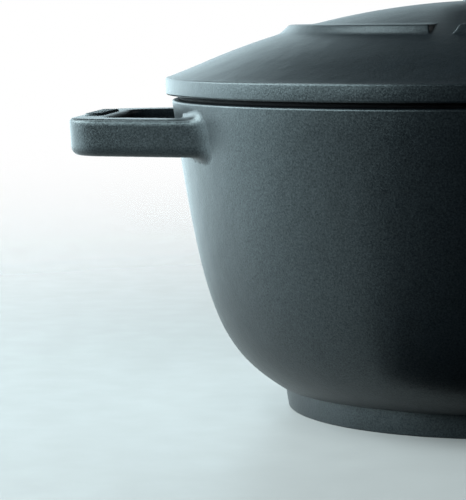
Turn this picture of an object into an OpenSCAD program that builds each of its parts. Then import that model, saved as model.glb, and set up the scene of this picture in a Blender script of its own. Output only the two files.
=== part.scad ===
// Stovetop pressure cooker: a heavy cast pot with two loop handles and a domed cast lid.
// The lid drops into the mouth, squeezes a silicone ring on the rim, and turns to lock
// its lugs under the lugs inside the mouth. The frame's origin is the middle of the foot,
// on the surface the pot stands on: +Z is up and +X runs along the two handles.

/* [Pot] */
// Height of the pot's rim above the surface it stands on
pot_h = 114; // [95:1:150]
// Radius of the wall's outside at the rim
rim_r = 117.8; // [97:0.1:145]
// Thickness of the cast wall
wall = 4.6; // [3.8:0.1:6]
// Angle by which the wall leans in below the rim
wall_draft = 7.7; // [3:0.1:12]
// How far the straight upper wall pulls the curve down
wall_run = 79; // [50:1:95]
// How far the curve of the belly runs out from the foot
belly_run = 26; // [15:1:35]
// Angle at which the belly leaves the foot
belly_angle = 33; // [20:1:50]
// Radius of the bowl's outside where it meets the foot
bowl_foot_r = 79.8; // [70:0.5:88]
// Height of the cooking floor above the surface the pot stands on
floor_z = 9; // [8:0.5:14]
// Radius of the flat cooking floor
floor_r = 56; // [40:1:60]

/* [Foot and base plate] */
// Height of the foot
foot_h = 9; // [6:0.5:10]
// Radius of the foot at the bottom
foot_r = 75.9; // [70:0.1:78]
// Extra radius of the foot at its top
foot_flare = 1.3; // [0:0.1:3]
// Chamfer on the foot's upper and lower edges
foot_chamfer = 0.4; // [0.3:0.1:1.5]
// Radius of the steel plate let into the underside
plate_r = 66; // [50:0.5:68]
// Thickness of the steel plate
plate_t = 2; // [1:0.1:3]
// How far the plate sits above the foot's lower edge
plate_recess = 0.5; // [0.3:0.1:1]
// Radius of the studs that hold the plate
stud_r = 3; // [2:0.1:4]
// Radius of the ring of studs
stud_ring_r = 48; // [30:1:58]
// Number of studs in the ring
stud_count = 12; // [6:1:18]

/* [Handles] */
// Reach of each handle from the middle of the pot
handle_reach = 151.5; // [140:0.1:190]
// Thickness of the handle, top to bottom
handle_t = 13.4; // [10:0.1:20]
// Drop from the rim to the handle's top face
handle_drop = 5.7; // [4:0.1:20]
// Half the width of the handle at its outer end
handle_half_w = 44.9; // [36:0.1:52]
// Angle at which the arms spread towards the pot
arm_angle = 16.5; // [8:1:20]
// Width of each arm
arm_w = 13.4; // [10:0.1:17]
// Width of the bar across the outer end
end_bar_w = 12.4; // [10:0.1:18]
// Corner radius of the handle in plan
handle_corner_r = 16; // [10:0.5:20]
// Corner radius of the finger slot in plan
slot_corner_r = 10; // [6:0.5:14]
// Rounding of the outer end's lower edge
end_round_low = 3.5; // [1:0.1:5]
// Rounding of the outer end's upper edge
end_round_top = 1.5; // [0.5:0.1:3]

/* [Bayonet] */
// Number of lugs on the pot and on the lid
lug_count = 6; // [3:1:8]
// Width of each lug, as an angle
lug_angle = 22; // [12:1:24]
// How far the pot's lugs stand in from the mouth's edge
lug_reach = 5.6; // [4.5:0.1:8]
// Drop from the rim to the top of the pot's lugs
lug_drop = 5; // [4.5:0.1:8]
// Thickness of the pot's lugs
lug_t = 5; // [3:0.1:7]
// Thickness of the lid's lugs
lid_lug_t = 4.5; // [3:0.1:7]
// Gap between the lugs, top to bottom
lug_play = 0.5; // [0.3:0.05:1]
// Gap between the lid's spigot and the pot's lugs
spigot_gap = 0.6; // [0.4:0.05:1.2]
// Gap between the lid's lugs and the pot's wall
lug_gap = 0.7; // [0.4:0.05:1.2]
// Thickness of the lid's spigot
spigot_t = 4; // [3:0.1:6]

/* [Lid] */
// How far the lid's band stands out past the rim
lid_overhang = 2.2; // [1:0.1:5]
// Height of the lid's band
band_h = 6.2; // [4:0.1:9]
// Rounding of the band's edges
band_round = 0.8; // [0.4:0.1:1.5]
// Rise of the dome above the band
dome_rise = 26.8; // [22:0.1:32]
// Thickness of the dome
dome_t = 4.5; // [3.5:0.1:6]
// Radius of the raised ring's top outer edge
ring_r = 74.5; // [70:0.1:80]
// Height of the raised ring's outer face
ring_h = 2.7; // [2:0.1:4]
// Slope of the raised ring's outer face, as run outwards
ring_slope = 2.9; // [1:0.1:4]
// Number of gaps in the raised ring
ring_gap_count = 3; // [1:1:6]
// Width of each gap, as an angle
ring_gap_angle = 7.5; // [4:0.5:15]
// Place of the first gap, as an angle from +X
ring_gap_at = 257.3; // [0:0.1:360]

/* [Seal] */
// Thickness of the seal where it is squeezed between lid and rim
seal_t = 1.8; // [1.5:0.1:4]
// How far the seal's outer edge stays inside the pot's rim edge
seal_inset = 2.2; // [0.5:0.1:3]
// Depth of the seal's lip inside the mouth
seal_lip_h = 4.2; // [2:0.1:4.4]
// Thickness of the seal's lip
seal_lip_t = 2.6; // [1.5:0.1:4]
// Gap between the seal and the lid's spigot
seal_gap = 0.3; // [0.2:0.05:0.5]

/* [Knob] */
// Radius of the knob
knob_r = 27; // [20:0.5:32]
// Height of the knob
knob_h = 28; // [24:0.5:36]
// Radius of the knob's neck
knob_neck_r = 10.5; // [9:0.1:13]
// Height of the knob's neck
knob_neck_h = 5; // [4:0.1:8]
// Radius of the inlaid cap on the knob
knob_cap_r = 16; // [10:0.5:18]
// Thickness of the inlaid cap
knob_cap_t = 2; // [1.5:0.1:3]
// Radius of the knob's screw
knob_screw_r = 3; // [2.5:0.1:4]
// Radius of the threaded insert moulded into the knob
insert_r = 5; // [4.6:0.1:6]
// Length of the threaded insert
insert_len = 14; // [10:0.5:18]

/* [Valves] */
// Distance of the valves from the middle of the lid
valve_at_r = 50; // [46:0.5:52]
// Angle of the pressure regulator from +X
regulator_angle = 60; // [30:1:80]
// Angle of the pressure indicator from +X
pin_angle = 0; // [-20:1:20]
// Angle of the safety valve from +X
safety_angle = -60; // [-80:1:-30]
// Radius of the flat pads under and over each valve
pad_r = 11.5; // [11:0.1:12.5]
// Radius of the vent pipe's and the indicator bush's thread
thread_r = 5; // [4.5:0.1:5.5]
// Radius of the safety valve's thread
safety_thread_r = 6; // [5.5:0.1:6.5]
// Gap between a thread and the hole in the lid
thread_gap = 0.15; // [0.1:0.01:0.3]
// Thickness of each valve's silicone washer
gasket_t = 1.6; // [1:0.1:2.5]
// Height of each valve's nut
nut_h = 5; // [4:0.1:7]
// Distance across the flats of the nuts
nut_flats = 16; // [15:0.5:19]
// Radius of the vent pipe above the lid
pipe_r = 3.2; // [3:0.1:4]
// Height of the vent pipe above its pad
pipe_h = 17; // [14:0.5:20]
// Radius of the hole through the vent pipe
vent_r = 1.5; // [1:0.1:2]
// Radius of the regulator's weight
weight_r = 12.5; // [10:0.5:14]
// Height of the regulator's weight
weight_h = 24; // [20:0.5:30]
// Running gap between a sliding piece and its bore
slide_gap = 0.08; // [0.05:0.01:0.1]
// Radius of the indicator pin
pin_r = 2.2; // [2:0.1:2.6]
// Travel of the indicator pin
pin_travel = 5; // [4:0.1:6]
// Wire radius of the safety valve's spring
wire_r = 0.45; // [0.3:0.05:0.6]

/* [Hidden] */
$fn = 96;

// Bowl outline: a cubic curve from the rim to the foot, outside and inside
function bezier(p, t) =
    pow(1 - t, 3) * p[0] + 3 * pow(1 - t, 2) * t * p[1]
    + 3 * (1 - t) * t * t * p[2] + pow(t, 3) * p[3];
function curve(p, steps) = [for (i = [0:steps]) bezier(p, i / steps)];
outline_steps = 28;
rim_out = [rim_r, pot_h];
rim_in = [rim_r - wall, pot_h];
wall_pull = [-wall_run * sin(wall_draft), -wall_run * cos(wall_draft)];
belly_end = [bowl_foot_r, foot_h];
belly_pull = [belly_run * cos(belly_angle), belly_run * sin(belly_angle)];
outer_curve = [rim_out, rim_out + wall_pull, belly_end + belly_pull, belly_end];
knee_inset = 1.3 * wall;
inner_curve = [
    rim_in, rim_in + wall_pull,
    [belly_end[0] + belly_pull[0] - knee_inset, floor_z + wall], [floor_r, floor_z]
];
// Radius of the mouth's wall at a height, found by halving the curve
function curve_at(p, z, near, far, halvings) =
    let (middle = (near + far) / 2)
    halvings == 0 ? middle
    : bezier(p, middle)[1] > z ? curve_at(p, z, middle, far, halvings - 1)
    : curve_at(p, z, near, middle, halvings - 1);
function mouth_r(z) = bezier(inner_curve, curve_at(inner_curve, z, 0, 1, 20))[0];

// Handles
handle_top = pot_h - handle_drop;
handle_bottom = handle_top - handle_t;
handle_bury = 16;
handle_root_x = rim_r - handle_bury;
slot_root_x = handle_root_x + 2;
slot_end_x = handle_reach - end_bar_w;
arm_slant_w = arm_w / cos(arm_angle);
function arm_out_y(x) = handle_half_w + (handle_reach - x) * tan(arm_angle);
function arm_in_y(x) = arm_out_y(x) - arm_slant_w;

// Base plate and its studs
plate_top = plate_recess + plate_t;
plate_gap = 0.3;
stud_bite = 2.5;
stud_top = plate_top + stud_bite;

// Bayonet
lug_top = pot_h - lug_drop;
lug_bottom = lug_top - lug_t;
bayonet_r = rim_r - wall - lug_reach;
spigot_r = bayonet_r - spigot_gap;
lid_lug_top = lug_bottom - lug_play;
lid_lug_bottom = lid_lug_top - lid_lug_t;
lid_lug_r = mouth_r(lid_lug_bottom) - lug_gap;
lug_pitch = 360 / lug_count;
turn_lock = lug_pitch / 2;
stop_angle = 3;
stop_gap_angle = 0.5;

// Lid: the dome is part of a sphere that meets the band's upper edge
lid_r = rim_r + lid_overhang;
band_bottom = pot_h + seal_t;
band_top = band_bottom + band_h;
dome_edge_r = lid_r - band_round;
dome_r = (dome_edge_r * dome_edge_r + dome_rise * dome_rise) / (2 * dome_rise);
apex_z = band_top + dome_rise;
dome_centre_z = apex_z - dome_r;
function dome_z(r) = dome_centre_z + sqrt(dome_r * dome_r - r * r);
function dome_under_z(r) = dome_centre_z + sqrt(pow(dome_r - dome_t, 2) - r * r);
ring_foot_r = ring_r + ring_slope;
ring_top = dome_z(ring_foot_r) + ring_h;
ring_bed = dome_t / 2;
ring_w = 12.5;
ring_toe = 0.3;

// Pads and washers under the valves
pad_rise = 0.4;
pad_top = dome_z(valve_at_r - pad_r) + pad_rise;
pad_bottom = dome_under_z(valve_at_r + pad_r) - pad_rise;
gasket_r = pad_r - 1;
gasket_bottom = pad_bottom - gasket_t;
nut_bottom = gasket_bottom - nut_h;
tail = 3;
centre_pad_r = 11;
centre_pad_top = apex_z + pad_rise;
centre_pad_bottom = dome_under_z(centre_pad_r) - pad_rise;

// How far one solid runs into another where both belong to one piece
bite = 0.5;

// Knob
knob_bottom = centre_pad_top;
knob_top = knob_bottom + knob_h;
screw_flats = 11;
screw_head_h = 4;
screw_head_top = centre_pad_bottom - gasket_t;
screw_top = knob_bottom + insert_len - 2;
knob_edge = 3;
cap_inset = 0.3;

// Regulator
flange_h = 3;
pipe_top = pad_top + pipe_h;
weight_gap = 1.5;
weight_bottom = pad_top + flange_h + weight_gap;
weight_top = weight_bottom + weight_h;
cap_r = weight_r + 1.5;
cap_edge = 3;
cap_h = 9;
cap_peg_r = 4;
cap_peg_h = 5;
strainer_r = 10;
strainer_h = 10;
strainer_wall = 1;
strainer_hole_r = 1.1;
strainer_holes = 8;
weight_mouth_r = pipe_r + 2.5;
weight_mouth_h = 4;

// Pressure indicator
pin_head_r = 3.4;
pin_head_h = 2;
head_gap = 0.3;
bush_counterbore_r = pin_head_r + head_gap;
bush_top = pad_top + flange_h;
pin_head_drop = 0.5;
pin_head_seat = bush_top - pin_head_h - pin_head_drop;
bush_bottom = nut_bottom - tail;
pin_seal_t = 1.6;
pin_seal_r = 4.6;
pin_collar_t = 2;
pin_seal_top = bush_bottom - pin_travel;
pin_collar_top = pin_seal_top - pin_seal_t;
pin_end = pin_collar_top - pin_collar_t - 1;

// Safety valve
safety_flats = 18;
safety_flange_h = 5;
safety_bore_r = 3.6;
safety_port_r = 1.8;
safety_bottom = nut_bottom - tail;
safety_seat = safety_bottom + 4;
safety_seal_t = 1.4;
plunger_disc_t = 2;
plunger_disc_r = safety_bore_r - slide_gap;
plunger_stem_r = 1.4;
safety_top = pad_top + safety_flange_h + 8;
spring_r = 2.7;
spring_turns = 7;
spring_rings = 12;
spring_sides = 8;
spring_bottom = safety_seat + safety_seal_t + plunger_disc_t;
safety_cap_t = 3;
safety_thread_in = 4;
spring_top = safety_top - safety_thread_in;
stem_top = safety_top + safety_cap_t + 1;

// Arc of a circle as points, for outlines
function arc(c, r, a0, a1, steps) = [
    for (i = [0:steps])
        let (a = a0 + (a1 - a0) * i / steps) c + r * [cos(a), sin(a)]
];

// A hexagon for nuts, measured across its flats
module hexagon(flats) {
    circle(r = flats / sqrt(3), $fn = 6);
}

// A plain ring between two radii and two heights
module tube(r_out, r_in, z0, z1) {
    translate([0, 0, z0]) difference() {
        cylinder(r = r_out, h = z1 - z0);
        translate([0, 0, -1]) cylinder(r = r_in, h = z1 - z0 + 2);
    }
}

// A round bar between two heights
module bar(r, z0, z1) {
    translate([0, 0, z0]) cylinder(r = r, h = z1 - z0);
}

// Puts a valve's pieces at their place on the lid
module at_valve(angle) {
    rotate([0, 0, angle]) translate([valve_at_r, 0, 0]) children();
}

// One set of lugs: a sector of a ring, repeated round the mouth
module lugs(r_in, r_out, z0, h, first) {
    for (i = [0:lug_count - 1])
        rotate([0, 0, first + i * lug_pitch - lug_angle / 2])
            rotate_extrude(angle = lug_angle)
                translate([r_in, z0]) square([r_out - r_in, h]);
}

// Plan of one handle: a loop whose arms spread towards the pot
module handle_plan() {
    end_c = handle_reach - handle_corner_r;
    side_turn = 90 - arm_angle;
    corner_y = handle_half_w - handle_corner_r * tan(side_turn / 2);
    slot_c = slot_end_x - slot_corner_r;
    slot_y = arm_in_y(slot_end_x) - slot_corner_r * tan(side_turn / 2);
    difference() {
        polygon(concat(
            [[handle_root_x, -arm_out_y(handle_root_x)]],
            arc([end_c, -corner_y], handle_corner_r, -90 + arm_angle, 0, 6),
            arc([end_c, corner_y], handle_corner_r, 0, 90 - arm_angle, 6),
            [[handle_root_x, arm_out_y(handle_root_x)]]
        ));
        polygon(concat(
            [[slot_root_x, -arm_in_y(slot_root_x)]],
            arc([slot_c, -slot_y], slot_corner_r, -90 + arm_angle, 0, 6),
            arc([slot_c, slot_y], slot_corner_r, 0, 90 - arm_angle, 6),
            [[slot_root_x, arm_in_y(slot_root_x)]]
        ));
    }
}

// Side view of one handle, with its outer end rounded
module handle_side() {
    low = [handle_reach - end_round_low, handle_bottom + end_round_low];
    top = [handle_reach - end_round_top, handle_top - end_round_top];
    polygon(concat(
        [[handle_root_x, handle_bottom]],
        arc(low, end_round_low, -90, 0, 5),
        arc(top, end_round_top, 0, 90, 4),
        [[handle_root_x, handle_top]]
    ));
}

module handle() {
    span = 2 * arm_out_y(handle_root_x) + 2;
    intersection() {
        translate([0, 0, handle_bottom]) linear_extrude(handle_t) handle_plan();
        rotate([90, 0, 0]) translate([0, 0, -span / 2])
            linear_extrude(span) handle_side();
    }
}

module bowl_outside() {
    foot_top_r = foot_r + foot_flare;
    rotate_extrude() polygon(concat(
        [[0, pot_h]],
        curve(outer_curve, outline_steps),
        [
            [foot_top_r, foot_h],
            [foot_top_r, foot_h - foot_chamfer],
            [foot_r, foot_chamfer],
            [foot_r - foot_chamfer, 0],
            [0, 0]
        ]
    ));
}

module bowl_inside() {
    rotate_extrude() polygon(concat(
        [[0, pot_h + 1], [rim_in[0], pot_h + 1]],
        curve(inner_curve, outline_steps),
        [[0, floor_z]]
    ));
}

module at_studs() {
    for (i = [0:stud_count - 1])
        rotate([0, 0, i * 360 / stud_count]) translate([stud_ring_r, 0, 0]) children();
}

// The block that stops the lid's lug at the end of its turn
module turn_stop() {
    rotate([0, 0, turn_lock + lug_angle / 2 + stop_gap_angle])
        rotate_extrude(angle = stop_angle)
            translate([bayonet_r, lid_lug_bottom])
                square([
                    mouth_r(lid_lug_bottom) + wall / 2 - bayonet_r,
                    lug_top - lid_lug_bottom
                ]);
}

module pot() color("#2f3436") {
    difference() {
        union() {
            bowl_outside();
            handle();
            mirror([1, 0, 0]) handle();
        }
        bowl_inside();
        bar(plate_r + plate_gap, -1, plate_top);
        at_studs() bar(stud_r, -1, stud_top);
    }
    lugs(bayonet_r, mouth_r(lug_bottom) + wall / 2, lug_bottom, lug_t, turn_lock);
    turn_stop();
}

module base_plate() color("#8d9092") difference() {
    bar(plate_r, plate_recess, plate_top);
    at_studs() bar(stud_r, 0, plate_top + 1);
}

module base_studs() color("#6f7274") at_studs() bar(stud_r, plate_recess, stud_top);

module seal_ring() color("#101113") {
    r_in = spigot_r + seal_gap;
    r_out = rim_r - seal_inset;
    rotate_extrude() polygon([
        [r_in, band_bottom], [r_out, band_bottom], [r_out, pot_h],
        [r_in + seal_lip_t, pot_h], [r_in + seal_lip_t, pot_h - seal_lip_h],
        [r_in, pot_h - seal_lip_h]
    ]);
}

// The raised ring on the dome, with its gaps left open
module raised_ring() {
    for (i = [0:ring_gap_count - 1])
        rotate([0, 0, ring_gap_at + ring_gap_angle / 2 + i * 360 / ring_gap_count])
            rotate_extrude(angle = 360 / ring_gap_count - ring_gap_angle) polygon([
                [ring_r - ring_w, dome_z(ring_r - ring_w) - ring_bed],
                [ring_r - ring_w, ring_top],
                [ring_r, ring_top],
                [ring_foot_r + ring_toe, dome_z(ring_foot_r) - ring_toe],
                [ring_foot_r - ring_slope, dome_z(ring_foot_r) - ring_bed]
            ]);
}

module lid_shell() {
    rotate_extrude() polygon(concat(
        arc([0, dome_centre_z], dome_r, 90, 90 - asin(dome_edge_r / dome_r), 24),
        arc([lid_r - band_round, band_top - band_round], band_round, 60, 0, 3),
        arc([lid_r - band_round, band_bottom + band_round], band_round, 0, -90, 4),
        [[spigot_r, band_bottom], [spigot_r, lid_lug_bottom],
         [spigot_r - spigot_t, lid_lug_bottom]],
        arc([0, dome_centre_z], dome_r - dome_t,
            90 - asin((spigot_r - spigot_t) / (dome_r - dome_t)), 90, 24)
    ));
}

module lid() color("#2f3436") difference() {
    union() {
        lid_shell();
        raised_ring();
        lugs(spigot_r - spigot_t / 2, lid_lug_r, lid_lug_bottom, lid_lug_t, 0);
        bar(centre_pad_r, centre_pad_bottom, centre_pad_top);
        for (a = [regulator_angle, pin_angle, safety_angle])
            at_valve(a) bar(pad_r, pad_bottom, pad_top);
    }
    bar(knob_screw_r + thread_gap, centre_pad_bottom - 1, centre_pad_top + 1);
    for (a = [regulator_angle, pin_angle])
        at_valve(a) bar(thread_r + thread_gap, pad_bottom - 1, pad_top + 1);
    at_valve(safety_angle)
        bar(safety_thread_r + thread_gap, pad_bottom - 1, pad_top + 1);
}

module knob_insert() color("#b08d4a")
    tube(insert_r, knob_screw_r, knob_bottom, knob_bottom + insert_len);

module knob() color("#17181a") {
    shoulder = knob_bottom + knob_neck_h;
    difference() {
        rotate_extrude() polygon(concat(
            [[0, knob_bottom], [knob_neck_r, knob_bottom]],
            curve([[knob_neck_r, shoulder - 1], [knob_neck_r, shoulder + 3],
                   [knob_r - 8, shoulder + 2], [knob_r - 1, shoulder + 8]], 10),
            curve([[knob_r, shoulder + 11], [knob_r, knob_top - 4],
                   [knob_r - knob_edge, knob_top], [knob_cap_r + knob_edge, knob_top]], 10),
            [[0, knob_top]]
        ));
        bar(insert_r, knob_bottom - 1, knob_bottom + insert_len);
        bar(knob_cap_r, knob_top - knob_cap_t, knob_top + 1);
    }
}

module knob_cap() color("#9a9d9f")
    bar(knob_cap_r, knob_top - knob_cap_t, knob_top - cap_inset);

module knob_screw() color("#a9acae") {
    translate([0, 0, screw_head_top - screw_head_h])
        linear_extrude(screw_head_h) hexagon(screw_flats);
    bar(knob_screw_r, screw_head_top - bite, screw_top);
}

module knob_gasket() color("#b8452e")
    tube(centre_pad_r - 1, knob_screw_r, screw_head_top, centre_pad_bottom);

module vent_pipe() color("#b6b9ba") at_valve(regulator_angle) difference() {
    union() {
        bar(thread_r, nut_bottom - tail, pad_top + bite);
        translate([0, 0, pad_top]) linear_extrude(flange_h) hexagon(nut_flats);
        bar(pipe_r, pad_top, pipe_top);
    }
    bar(vent_r, nut_bottom - tail - 1, pipe_top + 1);
}

// A silicone washer and a nut under one of the lid's pads
module washer_under(angle, r_in) at_valve(angle) tube(gasket_r, r_in, gasket_bottom, pad_bottom);
module nut_under(angle, r_in) at_valve(angle) difference() {
    translate([0, 0, nut_bottom]) linear_extrude(nut_h) hexagon(nut_flats);
    bar(r_in, nut_bottom - 1, gasket_bottom + 1);
}

module vent_gasket() color("#b8452e") washer_under(regulator_angle, thread_r);
module vent_nut() color("#a9acae") nut_under(regulator_angle, thread_r);

// A perforated cup that keeps food out of the vent, pushed on the pipe's lower end
module vent_strainer() color("#9fa2a4") at_valve(regulator_angle) {
    z1 = nut_bottom;
    z0 = z1 - strainer_h;
    difference() {
        bar(strainer_r, z0, z1);
        bar(strainer_r - strainer_wall, z0 + strainer_wall, z1 - strainer_wall);
        bar(thread_r, z1 - 2 * strainer_wall, z1 + 1);
        for (i = [0:strainer_holes - 1]) rotate([0, 0, i * 360 / strainer_holes]) {
            translate([0, 0, z0 + strainer_h / 2]) rotate([0, 90, 0])
                cylinder(r = strainer_hole_r, h = strainer_r + 1);
            translate([strainer_r / 2, 0, 0])
                bar(strainer_hole_r, z0 - 1, z0 + strainer_wall + 1);
        }
    }
}

module regulator_weight() color("#b6b9ba") at_valve(regulator_angle) difference() {
    bar(weight_r, weight_bottom, weight_top);
    bar(pipe_r + slide_gap, weight_bottom - 1, pipe_top);
    bar(weight_mouth_r, weight_bottom - 1, weight_bottom + weight_mouth_h);
    bar(cap_peg_r, weight_top - cap_peg_h, weight_top + 1);
}

module regulator_cap() color("#17181a") at_valve(regulator_angle) {
    bar(cap_peg_r, weight_top - cap_peg_h, weight_top + bite);
    rotate_extrude() polygon(concat(
        [[0, weight_top], [cap_r - 1, weight_top]],
        arc([cap_r - cap_edge, weight_top + cap_h - cap_edge], cap_edge, 0, 90, 6),
        [[0, weight_top + cap_h]]
    ));
}

module indicator_bush() color("#b6b9ba") at_valve(pin_angle) difference() {
    union() {
        bar(thread_r, bush_bottom, pad_top + bite);
        translate([0, 0, pad_top]) linear_extrude(flange_h) hexagon(nut_flats);
    }
    bar(pin_r + slide_gap, bush_bottom - 1, bush_top + 1);
    bar(bush_counterbore_r, pin_head_seat, bush_top + 1);
}
module indicator_gasket() color("#b8452e") washer_under(pin_angle, thread_r);
module indicator_nut() color("#a9acae") nut_under(pin_angle, thread_r);

module indicator_pin() color("#c23a2a") at_valve(pin_angle) {
    bar(pin_r, pin_end, pin_head_seat + bite);
    bar(pin_head_r, pin_head_seat, pin_head_seat + pin_head_h);
}
module indicator_collar() color("#a9acae") at_valve(pin_angle)
    tube(pin_seal_r, pin_r, pin_collar_top - pin_collar_t, pin_collar_top);
module indicator_seal() color("#b8452e") at_valve(pin_angle)
    tube(pin_seal_r, pin_r, pin_collar_top, pin_seal_top);

module safety_body() color("#b6b9ba") at_valve(safety_angle) difference() {
    union() {
        bar(safety_thread_r, safety_bottom, safety_top);
        translate([0, 0, pad_top]) linear_extrude(safety_flange_h) hexagon(safety_flats);
    }
    bar(safety_bore_r, safety_seat, safety_top + 1);
    bar(safety_port_r, safety_bottom - 1, safety_seat + 1);
}
module safety_gasket() color("#b8452e") washer_under(safety_angle, safety_thread_r);
module safety_nut() color("#a9acae") nut_under(safety_angle, safety_thread_r);

module safety_seal() color("#b8452e") at_valve(safety_angle)
    bar(plunger_disc_r, safety_seat, safety_seat + safety_seal_t);
module safety_plunger() color("#a9acae") at_valve(safety_angle) {
    bar(plunger_disc_r, safety_seat + safety_seal_t, spring_bottom);
    bar(plunger_stem_r, spring_bottom - bite, stem_top);
}

// A coil spring: a round wire swept along a helix
function coil_point(i) =
    let (n = spring_turns * spring_rings, a = 360 * i / spring_rings)
    [spring_r * cos(a), spring_r * sin(a),
     spring_bottom + wire_r + (spring_top - spring_bottom - 2 * wire_r) * i / n];
function coil_ring(i) =
    let (c = coil_point(i), a = 360 * i / spring_rings)
    [for (k = [0:spring_sides - 1])
        let (b = 360 * k / spring_sides)
        c + wire_r * [cos(b) * cos(a), cos(b) * sin(a), sin(b)]];
module safety_spring() color("#c9cbcc") at_valve(safety_angle) {
    n = spring_turns * spring_rings;
    points = [for (i = [0:n]) each coil_ring(i)];
    sides = [for (i = [0:n - 1]) for (k = [0:spring_sides - 1])
        let (a = i * spring_sides + k, b = i * spring_sides + (k + 1) % spring_sides)
        [a, a + spring_sides, b + spring_sides, b]];
    ends = [
        [for (k = [0:spring_sides - 1]) k],
        [for (k = [spring_sides - 1:-1:0]) n * spring_sides + k]
    ];
    polyhedron(points = points, faces = concat(sides, ends));
}

module safety_cap() color("#9fa2a4") at_valve(safety_angle) difference() {
    union() {
        bar(safety_bore_r, spring_top, safety_top + bite);
        translate([0, 0, safety_top]) linear_extrude(safety_cap_t) hexagon(2 * safety_thread_r);
    }
    bar(plunger_stem_r + slide_gap, spring_top - 1, safety_top + safety_cap_t + 1);
}

pot();
base_plate();
base_studs();
seal_ring();
lid();
knob_insert();
knob();
knob_cap();
knob_screw();
knob_gasket();
vent_pipe();
vent_gasket();
vent_nut();
vent_strainer();
regulator_weight();
regulator_cap();
indicator_bush();
indicator_gasket();
indicator_nut();
indicator_pin();
indicator_collar();
indicator_seal();
safety_body();
safety_gasket();
safety_nut();
safety_plunger();
safety_seal();
safety_spring();
safety_cap();
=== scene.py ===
"""Stovetop pressure cooker: the finished pieces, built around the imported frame.

The frame gives every place and most sizes. Each operator makes one piece or one group of
like pieces, from outlines turned round an axis, from a smooth field for the cast handles,
and from Geometry Nodes for what repeats. Sizes are in metres.
"""

import math

import bmesh
import bpy
import numpy as np
from bpy.props import FloatProperty, FloatVectorProperty, IntProperty, PointerProperty
from mathutils import Matrix, Vector


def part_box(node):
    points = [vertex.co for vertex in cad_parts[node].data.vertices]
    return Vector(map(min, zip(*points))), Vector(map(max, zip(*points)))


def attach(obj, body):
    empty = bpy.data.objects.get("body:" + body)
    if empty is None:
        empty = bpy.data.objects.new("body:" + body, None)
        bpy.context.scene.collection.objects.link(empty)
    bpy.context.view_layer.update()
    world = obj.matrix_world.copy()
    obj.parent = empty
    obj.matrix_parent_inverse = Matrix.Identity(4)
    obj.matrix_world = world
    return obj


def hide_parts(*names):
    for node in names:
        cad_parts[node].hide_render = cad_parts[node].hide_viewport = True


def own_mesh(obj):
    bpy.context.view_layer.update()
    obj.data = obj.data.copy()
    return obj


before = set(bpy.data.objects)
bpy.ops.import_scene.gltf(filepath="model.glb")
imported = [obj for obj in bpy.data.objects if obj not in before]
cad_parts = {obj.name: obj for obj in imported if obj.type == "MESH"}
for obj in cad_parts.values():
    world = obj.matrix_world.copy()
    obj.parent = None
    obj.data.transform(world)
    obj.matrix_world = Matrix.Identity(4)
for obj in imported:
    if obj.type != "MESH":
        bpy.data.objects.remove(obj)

bl_info = {
    "name": "Stovetop pressure cooker",
    "version": (1, 0, 0),
    "blender": (4, 5, 0),
    "location": "3D View > Sidebar > Cooker",
    "description": "Builds a cast stovetop pressure cooker around its packed frame",
    "category": "Add Mesh",
}

MM = 0.001
SHARP_ANGLE = math.radians(35)
DRILL_LENGTH = 6 * MM
LUG_REACH = 5.6 * MM
SPIGOT_CLEARANCE = 0.6 * MM
COOL_LIGHT = (0.80, 0.955, 1.0)
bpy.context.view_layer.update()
POT_BODY = "pot_body"
SEAL_BODY = "seal_body"
LID_BODY = "lid_body"
REGULATOR_BODY = "regulator_body"
INDICATOR_BODY = "indicator_body"
PLUNGER_BODY = "safety_plunger_body"


# ---------------------------------------------------------------- places from the frame

def low(node):
    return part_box(node)[0]


def high(node):
    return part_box(node)[1]


def axis_of(node):
    """The place of a round node's upright axis."""
    lo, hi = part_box(node)
    return ((lo[0] + hi[0]) / 2, (lo[1] + hi[1]) / 2)


def radius_of(node):
    """The radius of a round node."""
    lo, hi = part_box(node)
    return (hi[1] - lo[1]) / 2


# ---------------------------------------------------------------- outlines

def bezier(p0, p1, p2, p3, steps):
    t = np.linspace(0.0, 1.0, steps + 1)[:, None]
    p0, p1, p2, p3 = (np.array(p, float) for p in (p0, p1, p2, p3))
    return ((1 - t) ** 3 * p0 + 3 * (1 - t) ** 2 * t * p1
            + 3 * (1 - t) * t ** 2 * p2 + t ** 3 * p3)


def rounded(points, radius, steps=4, closed=False):
    """The outline with an arc at each corner. radius is one value, or one for each point."""
    points = [np.array(p, float) for p in points]
    count = len(points)
    radii = [radius] * count if np.isscalar(radius) else list(radius)
    out = []
    for i, p in enumerate(points):
        if (not closed and i in (0, count - 1)) or radii[i] <= 0:
            out.append(p)
            continue
        before = points[i - 1] - p
        after = points[(i + 1) % count] - p
        reach = min(np.linalg.norm(before), np.linalg.norm(after)) * 0.49
        before = before / np.linalg.norm(before)
        after = after / np.linalg.norm(after)
        half = math.acos(max(-1.0, min(1.0, float(before @ after)))) / 2
        if half > math.radians(88):
            out.append(p)
            continue
        cut = min(radii[i] / math.tan(half), reach)
        turn = cut * math.tan(half)
        middle = p + (before + after) / np.linalg.norm(before + after) * turn / math.sin(half)
        start = p + before * cut - middle
        end = p + after * cut - middle
        a0 = math.atan2(start[1], start[0])
        sweep = (math.atan2(end[1], end[0]) - a0 + math.pi) % (2 * math.pi) - math.pi
        for k in range(steps + 1):
            a = a0 + sweep * k / steps
            out.append(middle + turn * np.array([math.cos(a), math.sin(a)]))
    return out


# ---------------------------------------------------------------- shapes
# A shape is (points, faces): an array of points in metres and a list of index tuples.

def combine(*shapes):
    points, faces, start = [], [], 0
    for p, f in shapes:
        points.append(np.asarray(p, float))
        faces += [tuple(i + start for i in face) for face in f]
        start += len(p)
    return np.concatenate(points), faces


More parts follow.
